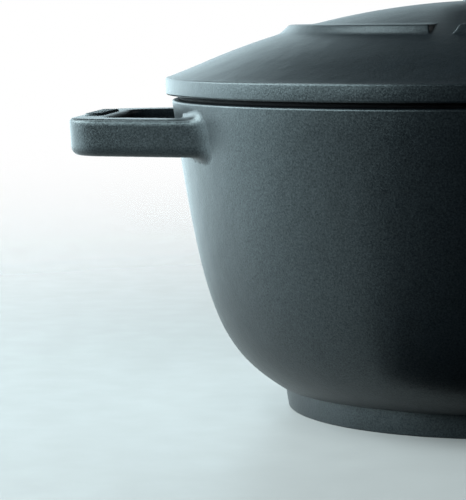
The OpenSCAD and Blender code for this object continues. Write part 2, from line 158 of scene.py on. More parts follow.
def moved(shape, x=0.0, y=0.0, z=0.0, turn=0.0):
    """The shape turned about +Z and then moved."""
    p = np.asarray(shape[0], float)
    c, s = math.cos(turn), math.sin(turn)
    out = np.stack([p[:, 0] * c - p[:, 1] * s + x, p[:, 0] * s + p[:, 1] * c + y, p[:, 2] + z], 1)
    return out, shape[1]


def lathe(outline, steps=96, angles=None, shape=None):
    """Turns an outline of (radius, height) points round +Z.

    An outline that starts and ends on the axis makes a solid, and any other is taken as a
    closed loop and makes a ring. shape(angle, radius, height) may change both at each point.
    """
    outline = np.array(outline, float)
    if angles is None:
        angles = np.linspace(0, 2 * math.pi, steps, endpoint=False)
    angles = np.asarray(angles, float)
    n, m = len(angles), len(outline)
    a = angles[:, None]
    r = np.repeat(outline[None, :, 0], n, 0)
    z = np.repeat(outline[None, :, 1], n, 0)
    if shape:
        r, z = shape(np.repeat(a, m, 1), r, z)
    points = np.stack([r * np.cos(a), r * np.sin(a), z], -1).reshape(-1, 3)
    solid = outline[0, 0] < 1e-9 and outline[-1, 0] < 1e-9
    faces = []
    for i in range(n):
        j = (i + 1) % n
        for k in range(m - 1 if solid else m):
            q = (k + 1) % m
            face = (i * m + k, j * m + k, j * m + q, i * m + q)
            if solid and k == 0:
                face = (0, j * m + q, i * m + q)
            elif solid and k == m - 2:
                face = (i * m + k, j * m + k, m - 1)
            faces.append(face)
    return points, faces


def sector(section, start, end, steps=8):
    """Sweeps a closed section of (radius, height) points through part of a turn, with ends."""
    section = np.array(section, float)
    m = len(section)
    rings = []
    for a in np.linspace(start, end, steps + 1):
        rings.append(np.stack([section[:, 0] * math.cos(a), section[:, 0] * math.sin(a),
                               section[:, 1]], 1))
    faces = []
    for i in range(steps):
        for k in range(m):
            q = (k + 1) % m
            faces.append((i * m + k, (i + 1) * m + k, (i + 1) * m + q, i * m + q))
    faces.append(tuple(range(m)))
    faces.append(tuple(steps * m + k for k in reversed(range(m))))
    return np.concatenate(rings), faces


def hexagonal(flats, phase=0.0):
    """A shape function that trims a turned outline to a hexagon across the flats."""
    def trim(a, r, z):
        part = (a - phase + math.pi / 6) % (math.pi / 3) - math.pi / 6
        return np.minimum(r, flats / 2 / np.cos(part)), z
    return trim


HEX_ANGLES = np.concatenate([
    np.radians(60 * k + np.array([-29.9, -26, -22, -18, -12, -6, 0, 6, 12, 18, 22, 26, 29.9]))
    for k in range(6)
])


def hex_block(flats, z0, z1, bore, chamfer):
    """A hexagonal block with a bore and both ends chamfered, as a nut or a flange."""
    corner = flats / math.sqrt(3)
    edge = flats / 2 - 0.2 * MM
    outline = [(bore, z0), (edge, z0), (corner, z0 + chamfer), (corner, z1 - chamfer),
               (edge, z1), (bore, z1)]
    return lathe(rounded(outline, 0.15 * MM, 2, True), angles=HEX_ANGLES,
                 shape=hexagonal(flats))


def ring_block(r_out, r_in, z0, z1, edge=0.3 * MM, steps=72):
    outline = [(r_in, z0), (r_out, z0), (r_out, z1), (r_in, z1)]
    return lathe(rounded(outline, edge, 3, True), steps)


def round_bar(radius, z0, z1, edge=0.3 * MM, steps=64):
    outline = [(0, z0), (radius, z0), (radius, z1), (0, z1)]
    return lathe(rounded(outline, edge, 3), steps)


def threaded(radius, z0, z1, pitch=1.0 * MM, depth=0.45 * MM):
    """A bar with ring-like grooves, which reads as a thread at this size."""
    outline = [(0, z0)]
    turns = max(1, int((z1 - z0) / pitch))
    step = (z1 - z0) / turns
    for i in range(turns):
        z = z0 + i * step
        outline += [(radius - depth, z), (radius, z + step * 0.35),
                    (radius, z + step * 0.5), (radius - depth, z + step * 0.85)]
    outline += [(radius - depth, z1), (0, z1)]
    return lathe(outline, 48)


# ---------------------------------------------------------------- objects from shapes

def new_object(name, shape, material, sharp=32.0, merge=1e-7):
    mesh = bpy.data.meshes.new(name)
    mesh.from_pydata([tuple(p) for p in shape[0]], [], shape[1])
    cleaned = bmesh.new()
    cleaned.from_mesh(mesh)
    bmesh.ops.remove_doubles(cleaned, verts=cleaned.verts, dist=merge)
    bmesh.ops.recalc_face_normals(cleaned, faces=cleaned.faces)
    cleaned.to_mesh(mesh)
    cleaned.free()
    mesh.shade_smooth()
    mesh.set_sharp_from_angle(angle=math.radians(sharp))
    mesh.materials.append(material)
    obj = bpy.data.objects.new(name, mesh)
    bpy.context.scene.collection.objects.link(obj)
    return obj


def settle(obj, body, slot, *nodes):
    """The piece moves with its body, and stands for the CAD nodes named."""
    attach(obj, body)
    if nodes:
        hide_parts(*nodes)
    return obj


def piece(name, shape, finish, body, *nodes, sharp=32.0):
    obj = new_object(name, shape, finish_material(finish), sharp)
    return settle(obj, body, finish, *nodes)


# ---------------------------------------------------------------- Geometry Nodes

def new_tree(name, sockets):
    """A node group with a geometry in and out, and inputs given as (name, type, default)."""
    tree = bpy.data.node_groups.new(name, "GeometryNodeTree")
    tree.interface.new_socket("Geometry", in_out="INPUT", socket_type="NodeSocketGeometry")
    for label, kind, default in sockets:
        socket = tree.interface.new_socket(label, in_out="INPUT", socket_type=kind)
        if default is not None:
            socket.default_value = default
    tree.interface.new_socket("Geometry", in_out="OUTPUT", socket_type="NodeSocketGeometry")
    return tree


def close_tree(tree, inputs, geometry):
    """Ends a tree in Realize Instances and Set Material."""
    real = tree.nodes.new("GeometryNodeRealizeInstances")
    paint = tree.nodes.new("GeometryNodeSetMaterial")
    out = tree.nodes.new("NodeGroupOutput")
    tree.links.new(geometry, real.inputs[0])
    tree.links.new(real.outputs[0], paint.inputs[0])
    tree.links.new(inputs.outputs["Material"], paint.inputs["Material"])
    tree.links.new(paint.outputs[0], out.inputs[0])


def ring_tree():
    """Copies the incoming piece round a circle, each copy facing outwards."""
    tree = new_tree("ring_of_copies", [
        ("Count", "NodeSocketInt", 12), ("Radius", "NodeSocketFloat", 0.05),
        ("Height", "NodeSocketFloat", 0.0), ("Material", "NodeSocketMaterial", None)])
    inputs = tree.nodes.new("NodeGroupInput")
    circle = tree.nodes.new("GeometryNodeMeshCircle")
    place = tree.nodes.new("GeometryNodeInputPosition")
    face = tree.nodes.new("FunctionNodeAlignRotationToVector")
    face.axis = "X"
    copies = tree.nodes.new("GeometryNodeInstanceOnPoints")
    lift = tree.nodes.new("GeometryNodeTransform")
    offset = tree.nodes.new("ShaderNodeCombineXYZ")
    link = tree.links.new
    link(inputs.outputs["Count"], circle.inputs["Vertices"])
    link(inputs.outputs["Radius"], circle.inputs["Radius"])
    link(place.outputs[0], face.inputs["Vector"])
    link(circle.outputs[0], copies.inputs["Points"])
    link(inputs.outputs["Geometry"], copies.inputs["Instance"])
    link(face.outputs[0], copies.inputs["Rotation"])
    link(inputs.outputs["Height"], offset.inputs["Z"])
    link(copies.outputs[0], lift.inputs["Geometry"])
    link(offset.outputs[0], lift.inputs["Translation"])
    close_tree(tree, inputs, lift.outputs[0])
    return tree


def row_tree():
    """Copies the incoming piece along a straight row centred on its start."""
    tree = new_tree("row_of_copies", [
        ("Count", "NodeSocketInt", 5), ("Pitch", "NodeSocketFloat", 0.005),
        ("Start", "NodeSocketVector", (0.0, 0.0, 0.0)), ("Material", "NodeSocketMaterial", None)])
    inputs = tree.nodes.new("NodeGroupInput")
    line = tree.nodes.new("GeometryNodeMeshLine")
    step = tree.nodes.new("ShaderNodeCombineXYZ")
    copies = tree.nodes.new("GeometryNodeInstanceOnPoints")
    link = tree.links.new
    link(inputs.outputs["Count"], line.inputs["Count"])
    link(inputs.outputs["Start"], line.inputs["Start Location"])
    link(inputs.outputs["Pitch"], step.inputs["Y"])
    link(step.outputs[0], line.inputs["Offset"])
    link(line.outputs[0], copies.inputs["Points"])
    link(inputs.outputs["Geometry"], copies.inputs["Instance"])
    close_tree(tree, inputs, copies.outputs[0])
    return tree


def spring_tree():
    """A coil spring: a helix with a round wire, and closed flat turns at both ends."""
    tree = new_tree("coil_spring", [
        ("Radius", "NodeSocketFloat", 0.003), ("Wire", "NodeSocketFloat", 0.0005),
        ("Height", "NodeSocketFloat", 0.02), ("Turns", "NodeSocketFloat", 7.0),
        ("Material", "NodeSocketMaterial", None)])
    inputs = tree.nodes.new("NodeGroupInput")
    helix = tree.nodes.new("GeometryNodeCurveSpiral")
    helix.inputs["Resolution"].default_value = 32
    wire = tree.nodes.new("GeometryNodeCurvePrimitiveCircle")
    wire.inputs["Resolution"].default_value = 12
    solid = tree.nodes.new("GeometryNodeCurveToMesh")
    solid.inputs["Fill Caps"].default_value = True
    link = tree.links.new
    link(inputs.outputs["Turns"], helix.inputs["Rotations"])
    link(inputs.outputs["Radius"], helix.inputs["Start Radius"])
    link(inputs.outputs["Radius"], helix.inputs["End Radius"])
    link(inputs.outputs["Height"], helix.inputs["Height"])
    link(inputs.outputs["Wire"], wire.inputs["Radius"])
    link(helix.outputs[0], solid.inputs["Curve"])
    link(wire.outputs[0], solid.inputs["Profile Curve"])
    close_tree(tree, inputs, solid.outputs[0])
    return tree


def bored_ring_tree():
    """Drills the incoming piece with a ring of round holes that run outwards from the axis."""
    tree = new_tree("ring_of_holes", [
        ("Count", "NodeSocketInt", 8), ("Hole", "NodeSocketFloat", 0.001),
        ("Reach", "NodeSocketFloat", 0.01), ("Height", "NodeSocketFloat", 0.0),
        ("Material", "NodeSocketMaterial", None)])
    inputs = tree.nodes.new("NodeGroupInput")
    circle = tree.nodes.new("GeometryNodeMeshCircle")
    place = tree.nodes.new("GeometryNodeInputPosition")
    face = tree.nodes.new("FunctionNodeAlignRotationToVector")
    face.axis = "Z"
    drill = tree.nodes.new("GeometryNodeMeshCylinder")
    drill.inputs["Vertices"].default_value = 16
    copies = tree.nodes.new("GeometryNodeInstanceOnPoints")
    real = tree.nodes.new("GeometryNodeRealizeInstances")
    lift = tree.nodes.new("GeometryNodeTransform")
    offset = tree.nodes.new("ShaderNodeCombineXYZ")
    cut = tree.nodes.new("GeometryNodeMeshBoolean")
    cut.operation = "DIFFERENCE"
    cut.solver = "EXACT"
    link = tree.links.new
    link(inputs.outputs["Count"], circle.inputs["Vertices"])
    link(inputs.outputs["Reach"], circle.inputs["Radius"])
    link(inputs.outputs["Hole"], drill.inputs["Radius"])
    drill.inputs["Depth"].default_value = DRILL_LENGTH
    link(place.outputs[0], face.inputs["Vector"])
    link(circle.outputs[0], copies.inputs["Points"])
    link(drill.outputs["Mesh"], copies.inputs["Instance"])
    link(face.outputs[0], copies.inputs["Rotation"])
    link(copies.outputs[0], real.inputs[0])
    link(inputs.outputs["Height"], offset.inputs["Z"])
    link(real.outputs[0], lift.inputs["Geometry"])
    link(offset.outputs[0], lift.inputs["Translation"])
    link(inputs.outputs["Geometry"], cut.inputs["Mesh 1"])
    link(lift.outputs[0], cut.inputs["Mesh 2"])
    close_tree(tree, inputs, cut.outputs[0])
    return tree


def through_tree(source, tree, name, values):
    """Runs the source object through a tree and returns the plain result; the source goes."""
    modifier = source.modifiers.new("build", "NODES")
    modifier.node_group = tree
    sockets = {s.name: s.identifier for s in tree.interface.items_tree
               if s.in_out == "INPUT"}
    for label, value in values.items():
        modifier[sockets[label]] = value
    graph = bpy.context.evaluated_depsgraph_get()
    mesh = bpy.data.meshes.new_from_object(source.evaluated_get(graph))
    source.modifiers.remove(modifier)
    bpy.data.objects.remove(source)
    mesh.name = name
    if not len(mesh.polygons):
        raise RuntimeError("the node tree made nothing for " + name)
    mesh.shade_smooth()
    mesh.set_sharp_from_angle(angle=SHARP_ANGLE)
    obj = bpy.data.objects.new(name, mesh)
    bpy.context.scene.collection.objects.link(obj)
    return obj


def place_mesh(obj, x=0.0, y=0.0, z=0.0):
    obj.data.transform(Matrix.Translation((x, y, z)))
    return obj


# ---------------------------------------------------------------- materials

OWN = "_look"


class Shader:
    """A material's node tree, with short calls for the nodes that the finishes use."""

    def __init__(self, name):
        self.material = bpy.data.materials.new(name + OWN)
        self.material.use_nodes = True
        self.nodes = self.material.node_tree.nodes
        self.links = self.material.node_tree.links
        self.surface = self.nodes["Principled BSDF"]
        self.place = self.nodes.new("ShaderNodeTexCoord").outputs["Object"]

    def noise(self, scale, detail=3.0, rough=0.5, stretch=None):
        node = self.nodes.new("ShaderNodeTexNoise")
        node.inputs["Scale"].default_value = scale
        node.inputs["Detail"].default_value = detail
        node.inputs["Roughness"].default_value = rough
        source = self.place
        if stretch:
            mapping = self.nodes.new("ShaderNodeMapping")
            mapping.inputs["Scale"].default_value = stretch
            self.links.new(source, mapping.inputs["Vector"])
            source = mapping.outputs[0]
        self.links.new(source, node.inputs["Vector"])
        return node.outputs["Fac"]

    def cells(self, scale):
        node = self.nodes.new("ShaderNodeTexVoronoi")
        node.inputs["Scale"].default_value = scale
        self.links.new(self.place, node.inputs["Vector"])
        return node.outputs["Distance"]

    def turned_lines(self, pitch):
        """Fine rings round an upright axis, as a lathe leaves them."""
        node = self.nodes.new("ShaderNodeTexWave")
        node.wave_type = "RINGS"
        node.rings_direction = "Z"
        node.inputs["Scale"].default_value = 1.0 / (pitch * 20.0)
        node.inputs["Distortion"].default_value = 0.4
        node.inputs["Detail"].default_value = 3.0
        node.inputs["Detail Scale"].default_value = 6.0
        self.links.new(self.place, node.inputs["Vector"])
        return node.outputs["Fac"]

    def ranged(self, value, low_out, high_out, low_in=0.3, high_in=0.7):
        node = self.nodes.new("ShaderNodeMapRange")
        node.inputs["From Min"].default_value = low_in
        node.inputs["From Max"].default_value = high_in
        node.inputs["To Min"].default_value = low_out
        node.inputs["To Max"].default_value = high_out
        self.links.new(value, node.inputs["Value"])
        return node.outputs[0]

    def mixed(self, value, first, second):
        node = self.nodes.new("ShaderNodeMix")
        node.data_type = "RGBA"
        node.inputs["A"].default_value = (*first, 1.0)
        node.inputs["B"].default_value = (*second, 1.0)
        self.links.new(value, node.inputs["Factor"])
        return node.outputs["Result"]

    def bump(self, height, depth, under=None):
        node = self.nodes.new("ShaderNodeBump")
        node.inputs["Distance"].default_value = depth
        self.links.new(height, node.inputs["Height"])
        if under:
            self.links.new(under, node.inputs["Normal"])
        return node.outputs[0]

    def into(self, value, socket):
        self.links.new(value, self.surface.inputs[socket])

    def set(self, **values):
        for socket, value in values.items():
            self.surface.inputs[socket.replace("_", " ")].default_value = value
        return self.material


def scaled(colour, factor):
    return tuple(c * factor for c in colour)


def cast_black():
    """Matte black coating over a sand casting: fine grain on a gently uneven surface."""
    look = bpy.context.scene.cooker_finish
    s = Shader("cast_black")
    swell = s.noise(look.swell_scale, 2.0)
    mottle = s.noise(look.mottle_scale, 3.0, 0.6)
    grain = s.noise(look.grain_scale, 3.0, 0.65)
    speck = s.cells(look.grain_scale * 0.55)
    tone = s.mixed(s.ranged(mottle, 0.0, 1.0), scaled(look.cast_colour, 0.85),
                   scaled(look.cast_colour, 1.18))
    s.into(tone, "Base Color")
    s.into(s.ranged(grain, look.cast_roughness - 0.05, look.cast_roughness + 0.07), "Roughness")
    shaped = s.bump(swell, look.swell_depth)
    shaped = s.bump(mottle, look.mottle_depth, under=shaped)
    shaped = s.bump(speck, look.grain_depth * 0.6, under=shaped)
    shaped = s.bump(grain, look.grain_depth, under=shaped)
    s.into(shaped, "Normal")
    s.into(s.ranged(grain, 0.22, 0.66), "Specular IOR Level")
    return s.set(Metallic=0.0, Specular_Tint=(0.84, 0.98, 1.0, 1.0))


def black_silicone():
    s = Shader("black_silicone")
    haze = s.noise(220.0, 3.0)
    s.into(s.mixed(s.ranged(haze, 0.0, 1.0), (0.004, 0.004, 0.005), (0.008, 0.008, 0.009)),
           "Base Color")
    s.into(s.ranged(haze, 0.6, 0.75), "Roughness")
    s.into(s.bump(s.noise(1800.0, 2.0), 0.00002), "Normal")
    return s.set(Specular_IOR_Level=0.08)


def red_silicone():
    s = Shader("red_silicone")
    haze = s.noise(400.0, 3.0)
    s.into(s.mixed(s.ranged(haze, 0.0, 1.0), (0.36, 0.045, 0.022), (0.47, 0.07, 0.035)),
           "Base Color")
    s.into(s.ranged(haze, 0.45, 0.6), "Roughness")
    s.into(s.bump(s.noise(2200.0, 2.0), 0.00002), "Normal")
    return s.set(Specular_IOR_Level=0.4)


def black_phenolic():
    s = Shader("black_phenolic")
    flow = s.noise(90.0, 4.0, 0.6)
    fine = s.noise(2600.0, 2.0)
    s.into(s.mixed(s.ranged(flow, 0.0, 1.0), (0.009, 0.009, 0.010), (0.016, 0.016, 0.017)),
           "Base Color")
    s.into(s.ranged(flow, 0.26, 0.38), "Roughness")
    s.into(s.bump(fine, 0.000015, under=s.bump(flow, 0.00008)), "Normal")
    return s.set(Specular_IOR_Level=0.5)


def turned(name, colour, pitch, rough):
    """A lathe-turned metal: fine rings, small scratches and a slight tone change."""
    s = Shader(name)
    rings = s.turned_lines(pitch)
    haze = s.noise(160.0, 4.0, 0.6)
    scratch = s.noise(900.0, 3.0, 0.7, stretch=(1.0, 6.0, 1.0))
    s.into(s.mixed(s.ranged(haze, 0.0, 1.0), scaled(colour, 0.86), scaled(colour, 1.1)),
           "Base Color")
    s.into(s.ranged(scratch, rough - 0.06, rough + 0.1), "Roughness")
    s.into(s.bump(scratch, 0.000008, under=s.bump(rings, 0.000012)), "Normal")
    return s.set(Metallic=1.0)


def turned_steel():
    return turned("turned_steel", (0.56, 0.57, 0.58), 0.25 * MM, 0.28)


def base_steel():
    return turned("base_steel", (0.42, 0.43, 0.44), 0.5 * MM, 0.34)


def insert_brass():
    return turned("insert_brass", (0.6, 0.43, 0.18), 0.2 * MM, 0.3)


def spring_steel():
    return turned("spring_steel", (0.5, 0.51, 0.52), 0.1 * MM, 0.22)


def red_enamel():
    s = Shader("red_enamel")
    haze = s.noise(500.0, 3.0)
    s.into(s.mixed(s.ranged(haze, 0.0, 1.0), (0.42, 0.02, 0.012), (0.52, 0.03, 0.02)),
           "Base Color")
    s.into(s.ranged(haze, 0.16, 0.28), "Roughness")
    s.into(s.bump(haze, 0.00002), "Normal")
    return s.set(Coat_Weight=0.5, Coat_Roughness=0.08)


FINISHES = {
    "cast_black": cast_black, "black_silicone": black_silicone, "red_silicone": red_silicone,
    "black_phenolic": black_phenolic, "turned_steel": turned_steel, "base_steel": base_steel,
    "insert_brass": insert_brass, "spring_steel": spring_steel, "red_enamel": red_enamel,
}


def finish_material(name):
    """The detailed material for a record slot, made once."""
    return bpy.data.materials.get(name + OWN) or FINISHES[name]()


# ---------------------------------------------------------------- settings

class CookerPotSettings(bpy.types.PropertyGroup):
    rim_radius: FloatProperty(
        name="Rim radius", description="Radius of the pot's outside at the rim",
        default=117.8 * MM, unit="LENGTH", precision=4)
    rim_height: FloatProperty(
        name="Rim height", description="Height of the rim above the surface",
        default=high("pot")[2], unit="LENGTH", precision=4)
    wall: FloatProperty(
        name="Wall", description="Thickness of the cast wall",
        default=4.6 * MM, unit="LENGTH", precision=4)
    wall_draft: FloatProperty(
        name="Wall draft", description="Angle by which the wall leans in below the rim",
        default=math.radians(7.7), subtype="ANGLE")
    wall_run: FloatProperty(
        name="Wall run", description="How far the straight wall pulls the curve down",
        default=79 * MM, unit="LENGTH")
    belly_run: FloatProperty(
        name="Belly run", description="How far the belly's curve runs out from the foot",
        default=26 * MM, unit="LENGTH")
    belly_angle: FloatProperty(
        name="Belly angle", description="Angle at which the belly leaves the foot",
        default=math.radians(33), subtype="ANGLE")
    bowl_foot_radius: FloatProperty(
        name="Bowl at foot", description="Radius of the bowl where it meets the foot",
        default=79.8 * MM, unit="LENGTH", precision=4)
    floor_height: FloatProperty(
        name="Floor height", description="Height of the cooking floor",
        default=9 * MM, unit="LENGTH", precision=4)
    floor_radius: FloatProperty(
        name="Floor radius", description="Radius of the flat cooking floor",
        default=56 * MM, unit="LENGTH", precision=4)
    foot_height: FloatProperty(
        name="Foot height", description="Height of the foot",
        default=9 * MM, unit="LENGTH", precision=4)
    foot_radius: FloatProperty(
        name="Foot radius", description="Radius of the foot at the bottom",
        default=75.9 * MM, unit="LENGTH", precision=4)
    foot_flare: FloatProperty(
        name="Foot flare", description="Extra radius of the foot at its top",
        default=1.3 * MM, unit="LENGTH", precision=4)
    edge_round: FloatProperty(
        name="Rim rounding", description="Rounding of the rim's edges",
        default=0.9 * MM, unit="LENGTH", precision=4)
    arm_angle: FloatProperty(
        name="Arm angle", description="Angle at which the handle's arms spread",
        default=math.radians(16.5), subtype="ANGLE")
    arm_width: FloatProperty(
        name="Arm width", description="Width of each arm of a handle",
        default=13.4 * MM, unit="LENGTH", precision=4)
    bar_width: FloatProperty(
        name="End bar width", description="Width of the bar across a handle's end",
        default=12.4 * MM, unit="LENGTH", precision=4)
    handle_drop: FloatProperty(
        name="Handle drop", description="Drop from the rim to the handle's top face",
        default=5.7 * MM, unit="LENGTH", precision=4)
    handle_thickness: FloatProperty(
        name="Handle thickness", description="Thickness of a handle, top to bottom",
        default=13.4 * MM, unit="LENGTH", precision=4)
    handle_half_width: FloatProperty(
        name="Handle half width", description="Half the handle's width at its end",
        default=44.9 * MM, unit="LENGTH", precision=4)
    outer_corner: FloatProperty(
        name="Outer corners", description="Corner radius of a handle, seen from above",
        default=16 * MM, unit="LENGTH", precision=4)
    slot_corner: FloatProperty(
        name="Slot corners", description="Corner radius of the finger slot, from above",
        default=10 * MM, unit="LENGTH", precision=4)
    root_fillet: FloatProperty(
        name="Root fillet", description="Fillet where the arms' outer sides meet the wall",
        default=3.4 * MM, unit="LENGTH", precision=4)
    slot_fillet: FloatProperty(
        name="Slot fillet", description="Fillet where the arms meet the wall in the slot",
        default=2.0 * MM, unit="LENGTH", precision=4)
    field_step: FloatProperty(
        name="Handle mesh step", description="Size of the handle mesh's faces",
        default=1.1 * MM, unit="LENGTH", precision=4)
    mark_count: IntProperty(
        name="Grip marks", description="Raised marks on each handle's end bar", default=7)


class CookerLidSettings(bpy.types.PropertyGroup):
    band_height: FloatProperty(
        name="Band height", description="Height of the lid's band",
        default=6.2 * MM, unit="LENGTH", precision=4)
    band_round: FloatProperty(
        name="Band rounding", description="Rounding of the band's edges",
        default=0.8 * MM, unit="LENGTH", precision=4)
    dome_rise: FloatProperty(
        name="Dome rise", description="Rise of the dome above the band",
        default=26.8 * MM, unit="LENGTH", precision=4)
    dome_ease: FloatProperty(
        name="Dome easing", description="How far the dome's shoulder lies below a true sphere",
        default=0.65 * MM, unit="LENGTH", precision=4)
    dome_thickness: FloatProperty(
        name="Dome thickness", description="Thickness of the dome",
        default=4.5 * MM, unit="LENGTH", precision=4)
    ring_radius: FloatProperty(
        name="Ring radius", description="Radius of the raised ring's top outer edge",
        default=74.5 * MM, unit="LENGTH", precision=4)
    ring_height: FloatProperty(
        name="Ring height", description="Height of the raised ring's outer face",
        default=2.7 * MM, unit="LENGTH", precision=4)
    ring_slope: FloatProperty(
        name="Ring slope", description="Run of the raised ring's outer face",
        default=2.9 * MM, unit="LENGTH", precision=4)
    ring_round: FloatProperty(
        name="Ring rounding", description="Rounding of the raised ring's edges",
        default=0.7 * MM, unit="LENGTH", precision=4)
    gap_count: IntProperty(
        name="Ring gaps", description="Number of gaps in the raised ring", default=3)
    gap_angle: FloatProperty(
        name="Gap angle", description="Width of each gap in the raised ring",
        default=math.radians(7.5), subtype="ANGLE")
    gap_at: FloatProperty(
        name="First gap", description="Place of the first gap, from +X",
        default=math.radians(257.3), subtype="ANGLE")
    spigot_wall: FloatProperty(
        name="Spigot wall", description="Thickness of the lid's spigot",
        default=4 * MM, unit="LENGTH", precision=4)
    lug_count: IntProperty(
        name="Lugs", description="Number of lugs on the lid and in the mouth", default=6)
    lug_angle: FloatProperty(
        name="Lug angle", description="Width of each lug",
        default=math.radians(22), subtype="ANGLE")


class CookerFinishSettings(bpy.types.PropertyGroup):
    cast_colour: FloatVectorProperty(
        name="Cast colour", description="Colour of the black coating", subtype="COLOR",
        default=(0.0035, 0.005, 0.0065), min=0.0, max=1.0)
    cast_roughness: FloatProperty(
        name="Cast roughness", description="Roughness of the black coating",
        default=0.37, min=0.0, max=1.0)
    swell_scale: FloatProperty(
        name="Swell scale", description="Scale of the casting's broad unevenness, per metre",
        default=60.0)
    swell_depth: FloatProperty(
        name="Swell depth", description="Depth of the casting's broad unevenness",
        default=0.25 * MM, unit="LENGTH", precision=5)
    mottle_scale: FloatProperty(
        name="Mottle scale", description="Scale of the casting's small dimples, per metre",
        default=170.0)
    mottle_depth: FloatProperty(
        name="Mottle depth", description="Depth of the casting's small dimples",
        default=0.06 * MM, unit="LENGTH", precision=5)
    grain_scale: FloatProperty(
        name="Grain scale", description="Scale of the sand grain, per metre",
        default=1700.0)
    grain_depth: FloatProperty(
        name="Grain depth", description="Depth of the sand grain",
        default=0.035 * MM, unit="LENGTH", precision=5)


class CookerStageSettings(bpy.types.PropertyGroup):
    floor_colour: FloatVectorProperty(
        name="Floor colour", description="Colour of the floor", subtype="COLOR",
        default=(0.41, 0.397, 0.384), min=0.0, max=1.0)
    side_power: FloatProperty(
        name="Side light", description="Power of the soft light on the left, in watts",
        default=88.0)
    top_power: FloatProperty(
        name="Top light", description="Power of the small soft light above, in watts",
        default=13.0)
    fill_power: FloatProperty(
        name="Fill light", description="Power of the weak light from the back right, in watts",
        default=2.2)
    back_glow: FloatProperty(
        name="Back glow", description="Brightness of the white backdrop, left and behind",
        default=4.0)
    floor_glow: FloatProperty(
        name="Floor glow", description="Extra brightness of the far floor on the left",
        default=0.95)
    room_level: FloatProperty(
        name="Room level", description="Brightness of the rest of the room", default=0.03)


# ---------------------------------------------------------------- pot

def pot_curves(pot):
    """The bowl's outer and inner outline, from the rim down, as cubic curves."""
    top = pot.rim_height
    pull = np.array([-pot.wall_run * math.sin(pot.wall_draft),
                     -pot.wall_run * math.cos(pot.wall_draft)])
    belly = np.array([pot.belly_run * math.cos(pot.belly_angle),
                      pot.belly_run * math.sin(pot.belly_angle)])
    rim_out = np.array([pot.rim_radius, top])
    rim_in = rim_out - [pot.wall, 0]
    foot = np.array([pot.bowl_foot_radius, pot.foot_height])
    outer = bezier(rim_out, rim_out + pull, foot + belly, foot, 72)
    knee = (foot[0] + belly[0] - 1.3 * pot.wall, pot.floor_height + pot.wall)
    inner = bezier(rim_in, rim_in + pull, knee, (pot.floor_radius, pot.floor_height), 56)
    return outer, inner


def bowl(pot):
    """The bowl and its foot, with the recess for the base plate."""
    outer, inner = pot_curves(pot)
    outer[0, 1] = inner[0, 1] = pot.rim_height
    recess = radius_of("base_plate") + 0.3 * MM
    recess_top = high("base_plate")[2]
    foot_top = pot.foot_radius + pot.foot_flare
    chamfer, small = 0.4 * MM, 0.25 * MM
    foot = rounded([
        (recess, recess_top), (recess, 0), (pot.foot_radius - chamfer, 0),
        (pot.foot_radius, chamfer), (foot_top, pot.foot_height - chamfer),
        (foot_top - 0.5 * MM, pot.foot_height), tuple(outer[-1]), tuple(outer[-4])
    ], [0, small, small, small, small, 0.15 * MM, 1.2 * MM, 0], 4)
    rim = rounded([outer[3], (pot.rim_radius, pot.rim_height),
                   (pot.rim_radius - pot.wall, pot.rim_height), inner[3]],
                  [0, pot.edge_round, 1.3 * MM, 0], 6)
    outline = ([(0, recess_top)] + foot + list(outer[-5:3:-1]) + rim
               + list(inner[4:]) + [(0, pot.floor_height)])
    return lathe(outline, 288)


def mouth_lugs(pot, lid):
    """The lugs inside the mouth, and the stop beside one of them."""
    lug_top = pot.rim_height - 5 * MM
    lug_bottom = lug_top - 5 * MM
    tip = pot.rim_radius - pot.wall - 5.6 * MM
    root = pot.rim_radius - pot.wall * 0.75
    pitch = 2 * math.pi / lid.lug_count
    section = rounded([(tip, lug_bottom), (root, lug_bottom), (root, lug_top), (tip, lug_top)],
                      [0.7 * MM, 0, 0, 0.7 * MM], 3, True)
    lugs = [sector(section, pitch * (i + 0.5) - lid.lug_angle / 2,
                   pitch * (i + 0.5) + lid.lug_angle / 2, 12) for i in range(lid.lug_count)]
    stop_at = pitch / 2 + lid.lug_angle / 2 + math.radians(0.5)
    stop_root = root - 1.6 * MM
    block = rounded([(tip, low("lid")[2]), (stop_root, low("lid")[2]), (stop_root, lug_top),
                     (tip, lug_top)], [0.7 * MM, 0, 0, 0.7 * MM], 3, True)
    lugs.append(sector(block, stop_at, stop_at + math.radians(3), 4))
    return combine(*lugs)


